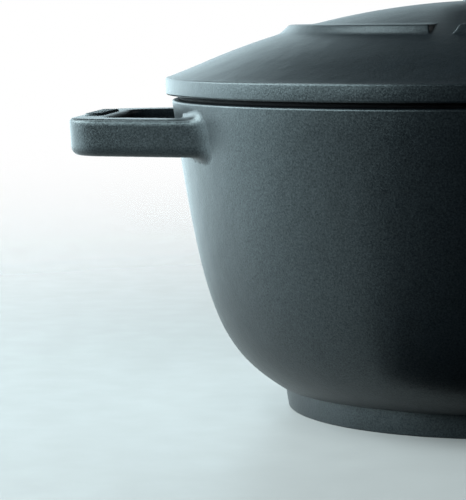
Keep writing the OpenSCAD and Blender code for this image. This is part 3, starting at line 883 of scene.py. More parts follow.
def handle_field(pot):
    """Signed distance to a loop handle blended into the bowl, as a function of x, y, z."""
    outer, _ = pot_curves(pot)
    heights, radii = outer[::-1, 1], outer[::-1, 0]
    leans = np.gradient(radii, heights)
    reach = high("pot")[0]
    top = pot.rim_height - pot.handle_drop
    middle = top - pot.handle_thickness / 2
    half = pot.handle_thickness / 2
    slot_end = reach - pot.bar_width
    cos_a, sin_a = math.cos(pot.arm_angle), math.sin(pot.arm_angle)
    arm_slant = pot.arm_width / cos_a
    slot_half = pot.handle_half_width + pot.bar_width * math.tan(pot.arm_angle) - arm_slant

    def wedge(x, y, end, half_width, corner):
        """Plan distance to a straight end with arms that spread from it, corners rounded."""
        flat = x - end + corner
        slant = (np.abs(y) - half_width) * cos_a + (x - end) * sin_a + corner
        beyond = (flat > slant * sin_a) & (slant > flat * sin_a)
        squared = flat * flat + slant * slant - 2 * flat * slant * sin_a
        return np.where(beyond, np.sqrt(np.maximum(squared, 0)) / cos_a,
                        np.maximum(flat, slant)) - corner

    def field(x, y, z):
        rho = np.sqrt(x * x + y * y)
        lean = np.interp(z, heights, leans)
        wall = (rho - np.interp(z, heights, radii)) / np.sqrt(1 + lean ** 2)
        edge = pot.edge_round
        up = z - pot.rim_height
        rim = (np.hypot(np.maximum(wall + edge, 0), np.maximum(up + edge, 0))
               + np.minimum(np.maximum(wall + edge, up + edge), 0) - edge)
        draft = (top - z) * 0.05
        outside = wedge(x + draft, y, reach, pot.handle_half_width, pot.outer_corner)
        inside = wedge(x, y, slot_end, slot_half, pot.slot_corner)
        plan = np.maximum(outside, -inside)
        lower = np.clip(0.5 + (middle - z) / (4 * MM), 0, 1)
        soft = 1.5 * MM + lower * 1.5 * MM
        side, height = plan + soft, np.abs(z - middle) - half + soft
        grip = (np.minimum(np.maximum(side, height), 0)
                + np.hypot(np.maximum(side, 0), np.maximum(height, 0)) - soft)
        arm_middle = pot.handle_half_width + (reach - x) * math.tan(pot.arm_angle) - arm_slant / 2
        outward = np.clip(0.5 + (np.abs(y) - arm_middle) / (8 * MM), 0, 1)
        outward = outward * outward * (3 - 2 * outward)
        fillet = pot.slot_fillet + (pot.root_fillet - pot.slot_fillet) * outward
        fillet = fillet * (1 - 0.2 * lower)
        near = np.hypot(np.maximum(fillet - rim, 0), np.maximum(fillet - grip, 0))
        joined = np.maximum(fillet, np.minimum(rim, grip)) - near
        joined = np.maximum(joined, up + 0.02 * MM)
        inside_wall = -(wall + 1.6 * MM)
        return np.maximum(joined + 0.02 * MM, inside_wall)

    return field


def skin_of(field, lo, hi, step):
    """The zero surface of a field inside a box, as quads with one point in each crossed cell."""
    axes = [np.arange(a, b + step, step) for a, b in zip(lo, hi)]
    grid = np.meshgrid(*axes, indexing="ij")
    value = field(*grid)
    for axis in range(3):
        for end in (0, -1):
            face = [slice(None)] * 3
            face[axis] = end
            value[tuple(face)] = np.maximum(value[tuple(face)], step * 0.2)
    inside = value < 0
    cells = tuple(n - 1 for n in value.shape)
    total, hits = np.zeros(cells + (3,)), np.zeros(cells)
    for axis in range(3):
        for u in (0, 1):
            for v in (0, 1):
                a = [0, 0, 0]
                a[(axis + 1) % 3], a[(axis + 2) % 3] = u, v
                b = list(a)
                b[axis] = 1
                sa = tuple(slice(o, o + n) for o, n in zip(a, cells))
                sb = tuple(slice(o, o + n) for o, n in zip(b, cells))
                fa, fb = value[sa], value[sb]
                crossed = inside[sa] != inside[sb]
                part = np.where(crossed, fa / np.where(crossed, fa - fb, 1.0), 0.0)
                for k in range(3):
                    total[..., k] += crossed * (a[k] + (part if k == axis else 0.0))
                hits += crossed
    used = hits > 0
    index = -np.ones(cells, int)
    index[used] = np.arange(used.sum())
    corner = np.argwhere(used)
    points = (corner + total[used] / hits[used][:, None]) * step + np.array(lo)
    faces = []
    for axis in range(3):
        b, c = (axis + 1) % 3, (axis + 2) % 3
        here = [slice(None)] * 3
        there = [slice(None)] * 3
        here[axis], there[axis] = slice(0, -1), slice(1, None)
        crossed = inside[tuple(here)] != inside[tuple(there)]
        for cell in np.argwhere(crossed):
            if min(cell[b], cell[c]) < 1 or cell[b] >= cells[b] or cell[c] >= cells[c]:
                continue
            ring = []
            for db, dc in ((-1, -1), (0, -1), (0, 0), (-1, 0)):
                q = list(cell)
                q[b] += db
                q[c] += dc
                ring.append(int(index[tuple(q)]))
            faces.append(tuple(ring))
    for _ in range(2):
        pull = step * 0.05
        slope = np.stack([
            field(*(points + pull * np.eye(3)[k]).T) - field(*(points - pull * np.eye(3)[k]).T)
            for k in range(3)], 1) / (2 * pull)
        off = field(*points.T)
        size = (slope ** 2).sum(1)
        move = np.where(size > 0.25, np.clip(off, -step, step) / np.maximum(size, 0.25), 0)
        inner = np.all((points > np.array(lo) + step) & (points < np.array(hi) - step), 1)
        points = points - (move * inner)[:, None] * slope
    return points, faces


def loop_handles(pot):
    """Both loop handles, each a closed casting whose skirt sinks into the bowl's wall."""
    reach = high("pot")[0]
    step = pot.field_step
    side = 74 * MM
    lo = (86 * MM, -side, pot.rim_height - 33 * MM)
    hi = (reach + 2 * step, side, pot.rim_height + 2 * step)
    right = skin_of(handle_field(pot), lo, hi, step)
    return combine(right, moved(right, turn=math.pi))


class COOKER_OT_pot(bpy.types.Operator):
    """Casts the pot: bowl, foot, mouth lugs and both loop handles in one piece"""

    bl_idname = "cooker.pot"
    bl_label = "Pot"

    def execute(self, context):
        pot, lid = context.scene.cooker_pot, context.scene.cooker_lid
        shape = combine(bowl(pot), mouth_lugs(pot, lid), loop_handles(pot))
        piece("pot_casting", shape, "cast_black", POT_BODY, "pot", sharp=50.0)
        return {"FINISHED"}


class COOKER_OT_grip_marks(bpy.types.Operator):
    """Adds a row of small raised marks to each handle's end bar"""

    bl_idname = "cooker.grip_marks"
    bl_label = "Grip marks"

    def execute(self, context):
        pot = context.scene.cooker_pot
        top = pot.rim_height - pot.handle_drop
        x = high("pot")[0] - pot.bar_width * 0.5
        pitch = 5.6 * MM
        tree = row_tree()
        for side in (-1, 1):
            outline = rounded([(0, -0.8 * MM), (1.7 * MM, -0.8 * MM), (1.35 * MM, 0.9 * MM),
                               (0, 0.9 * MM)], 0.4 * MM, 3)
            dot = new_object("grip_dot", stretched(lathe(outline, 24), 2.4, 1.0),
                             finish_material("cast_black"))
            made = through_tree(dot, tree, "grip_marks_" + ("left" if side < 0 else "right"), {
                "Count": pot.mark_count, "Pitch": pitch,
                "Start": (side * x, -pitch * (pot.mark_count - 1) / 2, top),
                "Material": finish_material("cast_black")})
            settle(made, POT_BODY, "cast_black")
        return {"FINISHED"}


def stretched(shape, kx, ky):
    return np.asarray(shape[0]) * [kx, ky, 1.0], shape[1]


class COOKER_OT_base(bpy.types.Operator):
    """Turns the steel base plate and sets its ring of studs"""

    bl_idname = "cooker.base"
    bl_label = "Base plate and studs"

    def execute(self, context):
        z0, z1 = low("base_plate")[2], high("base_plate")[2]
        radius = radius_of("base_plate")
        groove, depth = 1.2 * MM, 0.25 * MM
        outline = [(0, z0)]
        for r in np.arange(8 * MM, radius - 2 * MM, 9.5 * MM):
            outline += [(r, z0), (r + groove * 0.4, z0 + depth), (r + groove * 0.6, z0 + depth),
                        (r + groove, z0)]
        outline += rounded([(radius - 1 * MM, z0), (radius, z0), (radius, z1),
                            (radius - 1 * MM, z1)], 0.4 * MM, 3) + [(0, z1)]
        piece("base_plate_turned", lathe(outline, 192), "base_steel", POT_BODY, "base_plate")
        stud = 3 * MM
        z2 = high("base_studs")[2]
        face = [(0, z0 + 0.25 * MM), (stud * 0.35, z0 + 0.25 * MM), (stud * 0.45, z0 - 0.12 * MM),
                (stud, z0 - 0.12 * MM), (stud, z2), (0, z2)]
        single = new_object("stud", lathe(rounded(face, 0.12 * MM, 2), 28),
                            finish_material("base_steel"))
        ring = radius_of("base_studs") - stud
        made = through_tree(single, ring_tree(), "base_stud_heads", {
            "Count": 12, "Radius": ring, "Height": 0.0,
            "Material": finish_material("base_steel")})
        settle(made, POT_BODY, "base_steel", "base_studs")
        return {"FINISHED"}


class COOKER_OT_seal(bpy.types.Operator):
    """Moulds the silicone seal between the rim and the lid"""

    bl_idname = "cooker.seal"
    bl_label = "Seal ring"

    def execute(self, context):
        z0, z1 = low("seal_ring")[2], high("seal_ring")[2]
        rim = context.scene.cooker_pot.rim_height
        outer = radius_of("seal_ring")
        inner = spigot_span()[1] + 0.3 * MM
        lip = inner + 2.6 * MM
        outline = rounded([(inner, z1), (outer, z1), (outer, rim), (lip, rim), (lip, z0),
                           (inner, z0)],
                          [0.2 * MM, 0.5 * MM, 0.5 * MM, 0.6 * MM, 0.8 * MM, 0.3 * MM], 4, True)
        piece("seal_ring_moulded", lathe(outline, 240), "black_silicone", SEAL_BODY, "seal_ring")
        return {"FINISHED"}


# ---------------------------------------------------------------- lid

def smooth_most(a, b, soft):
    """The larger of two values, with a rounded change from one to the other."""
    mix = np.clip(soft - np.abs(a - b), 0, None) / soft
    return np.maximum(a, b) + mix * mix * soft / 4


def smooth_least(a, b, soft):
    return -smooth_most(-a, -b, soft)


class LidForm:
    """The lid's spherical dome and the raised ring on it."""

    def __init__(self, lid):
        self.band_bottom = high("seal_ring")[2]
        self.band_top = self.band_bottom + lid.band_height
        self.radius = radius_of("lid")
        edge = self.radius - lid.band_round
        rise = lid.dome_rise
        self.edge = edge
        self.sphere = (edge * edge + rise * rise) / (2 * rise)
        self.centre = self.band_top + rise - self.sphere
        self.thickness = lid.dome_thickness
        self.lid = lid
        self.foot = lid.ring_radius + lid.ring_slope
        self.ring_top = self.centre + math.sqrt(self.sphere ** 2 - self.foot ** 2) + lid.ring_height
        self.pad_top = high("safety_body")[2] - 13 * MM

    def top(self, r):
        sphere = self.centre + np.sqrt(self.sphere ** 2 - np.asarray(r) ** 2)
        shoulder = self.edge * 0.9
        inner = np.clip(np.asarray(r) / shoulder, 0, 1) ** 1.4
        outer = np.clip((self.edge - np.asarray(r)) / (self.edge - shoulder), 0, 1)
        return sphere - self.lid.dome_ease * inner * np.sin(outer * math.pi / 2)

    def under(self, r):
        return self.centre + np.sqrt((self.sphere - self.thickness) ** 2 - np.asarray(r) ** 2)

    def gap_depth(self, angle):
        """How far an angle lies inside the nearest gap, as a length: below 0 outside."""
        pitch = 2 * math.pi / self.lid.gap_count
        away = (angle - self.lid.gap_at + pitch / 2) % pitch - pitch / 2
        return (self.lid.gap_angle / 2 - np.abs(away)) * self.lid.ring_radius

    def with_ring(self, angle, r, z):
        """Lifts the dome's points where the raised ring stands."""
        lid = self.lid
        run = lid.ring_slope / lid.ring_height
        level = self.ring_top
        outer_face = self.ring_top - (r - lid.ring_radius) / run
        end_face = self.ring_top - (self.gap_depth(angle) + 0.4 * MM) / 0.45
        level = smooth_least(np.full_like(z, level), outer_face, lid.ring_round)
        level = smooth_least(level, end_face, lid.ring_round)
        return smooth_most(z, level, lid.ring_round)


def lid_angles(lid):
    """Angles round the lid, closer together at the ends of the raised ring's segments."""
    angles = list(np.linspace(0, 2 * math.pi, 288, endpoint=False))
    fine = 0.35 * MM / lid.ring_radius
    for i in range(lid.gap_count):
        for end in (-1, 1):
            centre = lid.gap_at + i * 2 * math.pi / lid.gap_count + end * lid.gap_angle / 2
            angles += [centre + k * fine for k in range(-7, 8)]
    angles = np.sort(np.array(angles) % (2 * math.pi))
    return angles[np.concatenate([[True], np.diff(angles) > fine * 0.3])]


def lid_shell(form, lid):
    """Dome, band, underside and spigot as one turned shell, with the ring lifted from it."""
    ring_in, ring_out = 60 * MM, form.foot + 2.5 * MM
    spigot = spigot_span()
    radii = np.concatenate([
        np.linspace(0, ring_in, 14, endpoint=False),
        np.linspace(ring_in, lid.ring_radius - 2.5 * MM, 14, endpoint=False),
        np.linspace(lid.ring_radius - 2.5 * MM, ring_out, 26, endpoint=False),
        np.linspace(ring_out, form.edge - 0.6 * MM, 16)])
    dome = [(r, float(form.top(r))) for r in radii]
    band = rounded([dome[-1], (form.edge + 0.35 * MM, form.band_top),
                    (form.radius, form.band_top - 0.5 * MM),
                    (form.radius, form.band_bottom), (spigot[1], form.band_bottom)],
                   [0, 0.5 * MM, 0.6 * MM, lid.band_round, 0], 5)[1:]
    inner = spigot[0]
    skirt = rounded([(spigot[1], form.band_bottom), (spigot[1], low("lid")[2]),
                     (inner, low("lid")[2]), (inner, float(form.under(inner))),
                     (inner - 8 * MM, float(form.under(inner - 8 * MM)))],
                    [0, 0.6 * MM, 0.6 * MM, 4 * MM, 0], 5)[1:]
    hollow = [(r, float(form.under(r))) for r in np.linspace(inner - 10 * MM, 0, 22)]
    outline = dome + band + skirt + hollow
    dome_points = len(dome)

    def shape(angle, r, z):
        lifted = form.with_ring(angle, r, z)
        z = z.copy()
        z[:, :dome_points] = lifted[:, :dome_points]
        return r, z

    return lathe(outline, angles=lid_angles(lid), shape=shape)


def spigot_span():
    """Inner and outer radius of the lid's spigot, which passes inside the pot's lugs."""
    pot = bpy.context.scene.cooker_pot
    lid = bpy.context.scene.cooker_lid
    outer = pot.rim_radius - pot.wall - LUG_REACH - SPIGOT_CLEARANCE
    return outer - lid.spigot_wall, outer


def pad(form, x, y, radius):
    """A flat pad through the dome under one fitting: solid, with no bore, and filleted on top."""
    far = math.hypot(x, y) + radius
    top = form.pad_top
    bottom = float(form.under(far)) - 0.4 * MM
    deep = float(form.under(far)) + form.thickness * 0.6
    outline = rounded([(0, bottom), (radius, bottom), (radius, top), (0, top)],
                      [0, 0.8 * MM, 0.7 * MM, 0], 4)
    skirt = rounded([(0, deep), (radius + 3 * MM, deep), (radius + 0.6 * MM, top - 3.2 * MM),
                     (radius - 0.4 * MM, top - 0.9 * MM), (0, top - 0.9 * MM)], 0.4 * MM, 3)
    return moved(combine(lathe(outline, 64), lathe(skirt, 64)), x, y)


FITTINGS = ("vent_pipe", "indicator_bush", "safety_body")


class COOKER_OT_lid(bpy.types.Operator):
    """Casts the lid: dome, raised ring, band, spigot with its lugs, and the pads"""

    bl_idname = "cooker.lid"
    bl_label = "Lid"

    def execute(self, context):
        lid = context.scene.cooker_lid
        form = LidForm(lid)
        inner, outer = spigot_span()
        z0 = low("lid")[2]
        z1 = z0 + 4.5 * MM
        tip = outer + 3.35 * MM
        section = rounded([(inner + 1 * MM, z0), (tip, z0), (tip, z1), (inner + 1 * MM, z1)],
                          [0, 0.7 * MM, 0.7 * MM, 0], 3, True)
        pitch = 2 * math.pi / lid.lug_count
        lugs = [sector(section, pitch * i - lid.lug_angle / 2, pitch * i + lid.lug_angle / 2, 12)
                for i in range(lid.lug_count)]
        pads = [pad(form, *axis_of(node), 11.5 * MM) for node in FITTINGS]
        centre_top = high("lid")[2]
        centre = lathe(rounded([(0, centre_top - 9 * MM), (11 * MM, centre_top - 9 * MM),
                                (11 * MM, centre_top), (0, centre_top)], 0.4 * MM, 3), 64)
        shape = combine(lid_shell(form, lid), *lugs, *pads, centre)
        piece("lid_casting", shape, "cast_black", LID_BODY, "lid", sharp=42.0)
        return {"FINISHED"}


# ---------------------------------------------------------------- knob and fittings

class COOKER_OT_knob(bpy.types.Operator):
    """Moulds the lid's knob and makes its cap, screw and washer"""

    bl_idname = "cooker.knob"
    bl_label = "Knob"

    def execute(self, context):
        z0, z1 = low("knob")[2], high("knob")[2]
        radius = radius_of("knob")
        neck = 10.5 * MM
        shoulder = z0 + 5 * MM
        cap = radius_of("knob_cap")
        cap_z = low("knob_cap")[2]
        under = bezier((neck, shoulder - 1 * MM), (neck, shoulder + 3 * MM),
                       (radius - 8 * MM, shoulder + 2 * MM),
                       (radius - 1 * MM, shoulder + 8 * MM), 18)
        over = bezier((radius, shoulder + 11 * MM), (radius, z1 - 4 * MM),
                      (radius - 3 * MM, z1), (cap + 3 * MM, z1), 18)
        outline = ([(0, z0 + 0.05 * MM)] + rounded([(neck - 2 * MM, z0 + 0.05 * MM),
                   (neck, z0 + 0.05 * MM), (neck, shoulder - 1.5 * MM)], 0.5 * MM, 3)
                   + list(under) + list(over)
                   + rounded([(cap + 2 * MM, z1), (cap + 0.15 * MM, z1),
                              (cap + 0.15 * MM, cap_z), (cap - 2 * MM, cap_z)], 0.3 * MM, 3)
                   + [(0, cap_z)])
        top, bottom = z1 - 1 * MM, shoulder + 2 * MM

        def fluted(angle, r, z):
            scallop = np.clip(np.cos(angle * 12), 0, 1) ** 2
            band = np.clip((z - bottom) / (6 * MM), 0, 1) * np.clip((top - z) / (6 * MM), 0, 1)
            side = np.clip((r - radius * 0.72) / (radius * 0.28), 0, 1)
            return r - 1.1 * MM * scallop * np.sqrt(band) * side, z

        piece("knob_moulded", lathe(outline, 288, shape=fluted), "black_phenolic", LID_BODY,
              "knob")
        face = high("knob_cap")[2]
        groove = [(cap * 0.80, face), (cap * 0.815, face - 0.25 * MM),
                  (cap * 0.835, face - 0.25 * MM), (cap * 0.85, face)]
        disc = ([(0, cap_z), (cap, cap_z), (cap, face - 0.35 * MM), (cap - 0.35 * MM, face)]
                + groove[::-1] + [(cap * 0.12, face), (cap * 0.06, face - 0.3 * MM),
                                  (0, face - 0.35 * MM)])
        piece("knob_cap_disc", lathe(disc, 144), "turned_steel", LID_BODY, "knob_cap")
        head_top = low("knob_gasket")[2]
        head_bottom = low("knob_screw")[2]
        head = hex_block(11 * MM, head_bottom, head_top, 1 * MM, 0.6 * MM)
        shank = threaded(3 * MM, head_bottom + 1 * MM, high("knob_screw")[2])
        face_disc = round_bar(4.6 * MM, head_bottom + 0.1 * MM, head_bottom + 1 * MM)
        piece("knob_screw_hex", combine(head, shank, face_disc), "turned_steel", LID_BODY,
              "knob_screw")
        washer = ring_block(radius_of("knob_gasket"), 3 * MM, head_top,
                            high("knob_gasket")[2], 0.5 * MM)
        piece("knob_washer", washer, "red_silicone", LID_BODY, "knob_gasket")
        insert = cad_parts["knob_insert"]
        insert.material_slots[0].material = finish_material("insert_brass")
        return {"FINISHED"}


def washer_and_nut(kind, title):
    """The silicone washer and the nut that clamp one fitting under the lid."""
    x, y = axis_of(kind + "_gasket")
    bore = 5 * MM if kind != "safety" else 6 * MM
    z0, z1 = low(kind + "_gasket")[2], high(kind + "_gasket")[2]
    washer = moved(ring_block(radius_of(kind + "_gasket"), bore, z0, z1, 0.5 * MM), x, y)
    piece(title + "_washer", washer, "red_silicone", LID_BODY, kind + "_gasket")
    flats = 2 * radius_of(kind + "_nut")
    n0, n1 = low(kind + "_nut")[2], high(kind + "_nut")[2]
    nut = moved(hex_block(flats, n0, n1, bore, 0.7 * MM), x, y)
    piece(title + "_nut_hex", nut, "turned_steel", LID_BODY, kind + "_nut")


class COOKER_OT_regulator(bpy.types.Operator):
    """Makes the vent pipe, its washer, nut and strainer, and the regulator weight on it"""

    bl_idname = "cooker.regulator"
    bl_label = "Pressure regulator"

    def execute(self, context):
        x, y = axis_of("vent_pipe")
        z0, z1 = low("vent_pipe")[2], high("vent_pipe")[2]
        pad_z = z1 - 17 * MM
        hexagon = hex_block(2 * radius_of("vent_pipe"), pad_z, pad_z + 3 * MM, 2.5 * MM,
                            0.6 * MM)
        pipe = lathe(rounded([(1.5 * MM, z0), (3 * MM, z0), (3.2 * MM, pad_z),
                              (3.2 * MM, z1 - 2 * MM), (2.2 * MM, z1), (1.5 * MM, z1)],
                             0.25 * MM, 3, True), 64)
        thread = lathe_ring_thread(1.6 * MM, 5 * MM, z0, pad_z + 0.5 * MM)
        piece("vent_pipe_turned", moved(combine(hexagon, pipe, thread), x, y), "turned_steel",
              LID_BODY, "vent_pipe")
        washer_and_nut("vent", "vent")
        self.strainer(x, y)
        self.weight(x, y)
        return {"FINISHED"}

    def strainer(self, x, y):
        z0, z1 = low("vent_strainer")[2], high("vent_strainer")[2]
        radius, wall = radius_of("vent_strainer"), 1 * MM
        cup = rounded([(0.01 * MM, z0), (radius, z0), (radius, z1), (5.05 * MM, z1),
                       (5.05 * MM, z1 - wall), (radius - wall, z1 - wall),
                       (radius - wall, z0 + wall), (0.01 * MM, z0 + wall)],
                      [0, 1.2 * MM, 0.8 * MM, 0.2 * MM, 0.2 * MM, 0.4 * MM, 0.6 * MM, 0], 3, True)
        cup[0] = (0.0, z0)
        solid = new_object("cup", lathe([(0, z0)] + cup[1:-1] + [(0, z0 + wall)], 64),
                           finish_material("turned_steel"))
        made = through_tree(solid, bored_ring_tree(), "vent_strainer_cup", {
            "Count": 12, "Hole": 1.1 * MM, "Reach": radius, "Height": (z0 + z1) / 2,
            "Material": finish_material("turned_steel")})
        settle(place_mesh(made, x, y), LID_BODY, "turned_steel", "vent_strainer")

    def weight(self, x, y):
        z0, z1 = low("regulator_weight")[2], high("regulator_weight")[2]
        radius = radius_of("regulator_weight")
        bore, mouth = 3.28 * MM, 5.7 * MM
        pipe_top = high("vent_pipe")[2]
        body = rounded([(0, pipe_top), (bore, pipe_top), (bore, z0 + 4 * MM),
                        (mouth, z0 + 4 * MM), (mouth, z0), (radius, z0),
                        (radius, z0 + 5 * MM), (radius - 0.7 * MM, z0 + 5.7 * MM),
                        (radius - 0.7 * MM, z0 + 7 * MM), (radius, z0 + 7.7 * MM),
                        (radius, z1), (0, z1)],
                       [0, 0.3 * MM, 0.3 * MM, 0.3 * MM, 0.5 * MM, 1 * MM, 0.2 * MM, 0.2 * MM,
                        0.2 * MM, 0.2 * MM, 0.8 * MM, 0], 3)
        piece("regulator_weight_turned", moved(lathe(body, 120), x, y), "turned_steel",
              REGULATOR_BODY, "regulator_weight")
        cap_z = high("regulator_cap")[2]
        cap_r = radius_of("regulator_cap")
        core = lathe(rounded([(0, z1), (cap_r - 1 * MM, z1), (cap_r - 0.7 * MM, cap_z - 2 * MM),
                              (cap_r - 3 * MM, cap_z), (cap_r * 0.4, cap_z),
                              (0, cap_z - 0.6 * MM)],
                             [0, 0.4 * MM, 1.5 * MM, 1.5 * MM, 2 * MM, 0], 4), 96)
        cap = new_object("cap_core", core, finish_material("black_phenolic"))
        rib = new_object("rib", capped_rib(0.55 * MM, z1 + 0.8 * MM, cap_z - 2.6 * MM),
                         finish_material("black_phenolic"))
        ribs = through_tree(rib, ring_tree(), "ribs", {
            "Count": 40, "Radius": cap_r - 0.75 * MM, "Height": 0.0,
            "Material": finish_material("black_phenolic")})
        made = joined("regulator_cap_ribbed", cap, ribs)
        settle(place_mesh(made, x, y), REGULATOR_BODY, "black_phenolic", "regulator_cap")


def lathe_ring_thread(bore, radius, z0, z1, pitch=1.0 * MM, depth=0.4 * MM):
    """A threaded sleeve: ring-like grooves outside and a plain bore."""
    turns = max(1, int((z1 - z0) / pitch))
    step = (z1 - z0) / turns
    outline = [(bore, z0)]
    for i in range(turns):
        z = z0 + i * step
        outline += [(radius - depth, z), (radius, z + step * 0.35), (radius, z + step * 0.5),
                    (radius - depth, z + step * 0.85)]
    outline += [(radius - depth, z1), (bore, z1)]
    return lathe(outline, 48)


def capped_rib(radius, z0, z1):
    return lathe(rounded([(0, z0), (radius, z0), (radius, z1), (0, z1)],
                         [0, radius * 0.8, radius * 0.8, 0], 3), 10)


def joined(name, *objects):
    """One plain mesh from several, in the first one's material."""
    merged = bmesh.new()
    for obj in objects:
        merged.from_mesh(obj.data)
    mesh = bpy.data.meshes.new(name)
    merged.to_mesh(mesh)
    merged.free()
    mesh.materials.append(objects[0].data.materials[0])
    mesh.shade_smooth()
    mesh.set_sharp_from_angle(angle=SHARP_ANGLE)
    for obj in objects:
        bpy.data.objects.remove(obj)
    result = bpy.data.objects.new(name, mesh)
    bpy.context.scene.collection.objects.link(result)
    return result


class COOKER_OT_indicator(bpy.types.Operator):
    """Makes the pressure indicator: bush, washer, nut, red pin, collar and seal"""

    bl_idname = "cooker.indicator"
    bl_label = "Pressure indicator"

    def execute(self, context):
        x, y = axis_of("indicator_bush")
        z0, z1 = low("indicator_bush")[2], high("indicator_bush")[2]
        seat = low("indicator_pin")[2]
        head = high("indicator_pin")[2]
        head_bottom = head - 2 * MM
        flange = hex_block(2 * radius_of("indicator_bush"), z1 - 3 * MM, z1, 3.7 * MM, 0.6 * MM)
        sleeve = lathe_ring_thread(2.28 * MM, 5 * MM, z0, z1 - 3 * MM)
        seat_ring = ring_block(3.9 * MM, 2.28 * MM, z1 - 3 * MM, head_bottom, 0.1 * MM)
        piece("indicator_bush_turned", moved(combine(flange, sleeve, seat_ring), x, y),
              "turned_steel", LID_BODY, "indicator_bush")
        washer_and_nut("indicator", "indicator")
        stem = 2.2 * MM
        pin = lathe(rounded([(0, seat), (stem, seat), (stem, head_bottom),
                             (3.4 * MM, head_bottom), (3.4 * MM, head), (1.2 * MM, head),
                             (0.9 * MM, head - 0.3 * MM), (0, head - 0.3 * MM)],
                            [0, 0.4 * MM, 0.1 * MM, 0.2 * MM, 0.6 * MM, 0.15 * MM, 0.1 * MM, 0],
                            3), 64)
        piece("indicator_pin_red", moved(pin, x, y), "red_enamel", INDICATOR_BODY,
              "indicator_pin")
        collar = ring_block(radius_of("indicator_collar"), stem, low("indicator_collar")[2],
                            high("indicator_collar")[2], 0.3 * MM)
        piece("indicator_collar_turned", moved(collar, x, y), "turned_steel", INDICATOR_BODY,
              "indicator_collar")
        clear_of_bush = 0.03 * MM
        seal = ring_block(radius_of("indicator_seal"), stem, low("indicator_seal")[2],
                          high("indicator_seal")[2] - clear_of_bush, 0.6 * MM)
        piece("indicator_seal_moulded", moved(seal, x, y), "red_silicone", INDICATOR_BODY,
              "indicator_seal")
        return {"FINISHED"}


class COOKER_OT_safety_valve(bpy.types.Operator):
    """Makes the safety valve: body, washer, nut, plunger, seal, spring and cap"""

    bl_idname = "cooker.safety_valve"
    bl_label = "Safety valve"

    def execute(self, context):
        x, y = axis_of("safety_body")
        z0, z1 = low("safety_body")[2], high("safety_body")[2]
        pad_z = z1 - 13 * MM
        bore = 3.6 * MM
        hexagon = hex_block(2 * radius_of("safety_body"), pad_z, pad_z + 5 * MM, 5.4 * MM,
                            0.8 * MM)
        neck = ring_block(6 * MM, bore, pad_z, z1, 0.4 * MM)
        sleeve = lathe_ring_thread(bore, 6 * MM, z0 + 4 * MM, pad_z)
        port = lathe_ring_thread(1.8 * MM, 6 * MM, z0, z0 + 4 * MM)
        piece("safety_body_turned", moved(combine(hexagon, neck, sleeve, port), x, y),
              "turned_steel", LID_BODY, "safety_body")
        washer_and_nut("safety", "safety")
        seal_z0, seal_z1 = low("safety_seal")[2], high("safety_seal")[2]
        seal = round_bar(radius_of("safety_seal"), seal_z0, seal_z1, 0.4 * MM)
        piece("safety_seal_moulded", moved(seal, x, y), "red_silicone", PLUNGER_BODY,
              "safety_seal")
        top = high("safety_plunger")[2]
        disc = radius_of("safety_plunger")
        stem = 1.4 * MM
        spring_z = seal_z1 + 2 * MM
        plunger = lathe(rounded([(0, seal_z1), (disc, seal_z1), (disc, spring_z),
                                 (stem, spring_z), (stem, top), (0, top)],
                                [0, 0.3 * MM, 0.4 * MM, 0.3 * MM, 0.7 * MM, 0], 3), 64)
        piece("safety_plunger_turned", moved(plunger, x, y), "turned_steel", PLUNGER_BODY,
              "safety_plunger")
        self.spring(x, y)
        cap_z0, cap_z1 = low("safety_cap")[2], high("safety_cap")[2]
        crown = hex_block(2 * radius_of("safety_cap"), cap_z1 - 3 * MM, cap_z1, 1.48 * MM,
                          0.6 * MM)
        plug = ring_block(bore, 1.48 * MM, cap_z0, cap_z1 - 2 * MM, 0.2 * MM)
        piece("safety_cap_turned", moved(combine(crown, plug), x, y), "turned_steel", LID_BODY,
              "safety_cap")
        return {"FINISHED"}

    def spring(self, x, y):
        z0, z1 = low("safety_spring")[2], high("safety_spring")[2]
        wire = 0.45 * MM
        seed = new_object("spring_seed", ring_block(1 * MM, 0.5 * MM, 0, 1 * MM),
                          finish_material("spring_steel"))
        made = through_tree(seed, spring_tree(), "safety_spring_coil", {
            "Radius": 2.7 * MM, "Wire": wire, "Height": z1 - z0 - 2 * wire, "Turns": 7.0,
            "Material": finish_material("spring_steel")})
        place_mesh(made, x, y, z0 + wire)
        settle(made, LID_BODY, "spring_steel", "safety_spring")
        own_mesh(made)


# ---------------------------------------------------------------- stage

def fading_floor(stage):
    """A pale, slightly glossy floor that fades out far from the object."""
    s = Shader("pale_floor")
    cloud = s.noise(3.0, 2.0)
    s.into(s.mixed(s.ranged(cloud, 0.0, 1.0), scaled(stage.floor_colour, 0.985),
                   stage.floor_colour), "Base Color")
    s.into(s.ranged(s.noise(60.0, 3.0), 0.42, 0.50), "Roughness")
    s.set(Specular_IOR_Level=0.35)
    distance = s.nodes.new("ShaderNodeVectorMath")
    distance.operation = "LENGTH"
    s.links.new(s.place, distance.inputs[0])
    near = s.ranged(distance.outputs["Value"], 1.0, 0.0, 0.1, 2.0)
    power = s.nodes.new("ShaderNodeMath")
    power.operation = "POWER"
    power.inputs[1].default_value = 4.0
    s.links.new(near, power.inputs[0])
    inverse = s.nodes.new("ShaderNodeMath")
    inverse.operation = "SUBTRACT"
    inverse.inputs[0].default_value = 1.0
    s.links.new(power.outputs[0], inverse.inputs[1])
    fade = inverse.outputs[0]
    clear = s.nodes.new("ShaderNodeBsdfTransparent")
    mix = s.nodes.new("ShaderNodeMixShader")
    out = s.nodes["Material Output"]
    s.links.new(fade, mix.inputs[0])
    s.links.new(s.surface.outputs[0], mix.inputs[1])
    s.links.new(clear.outputs[0], mix.inputs[2])
    s.links.new(mix.outputs[0], out.inputs["Surface"])
    return s.material


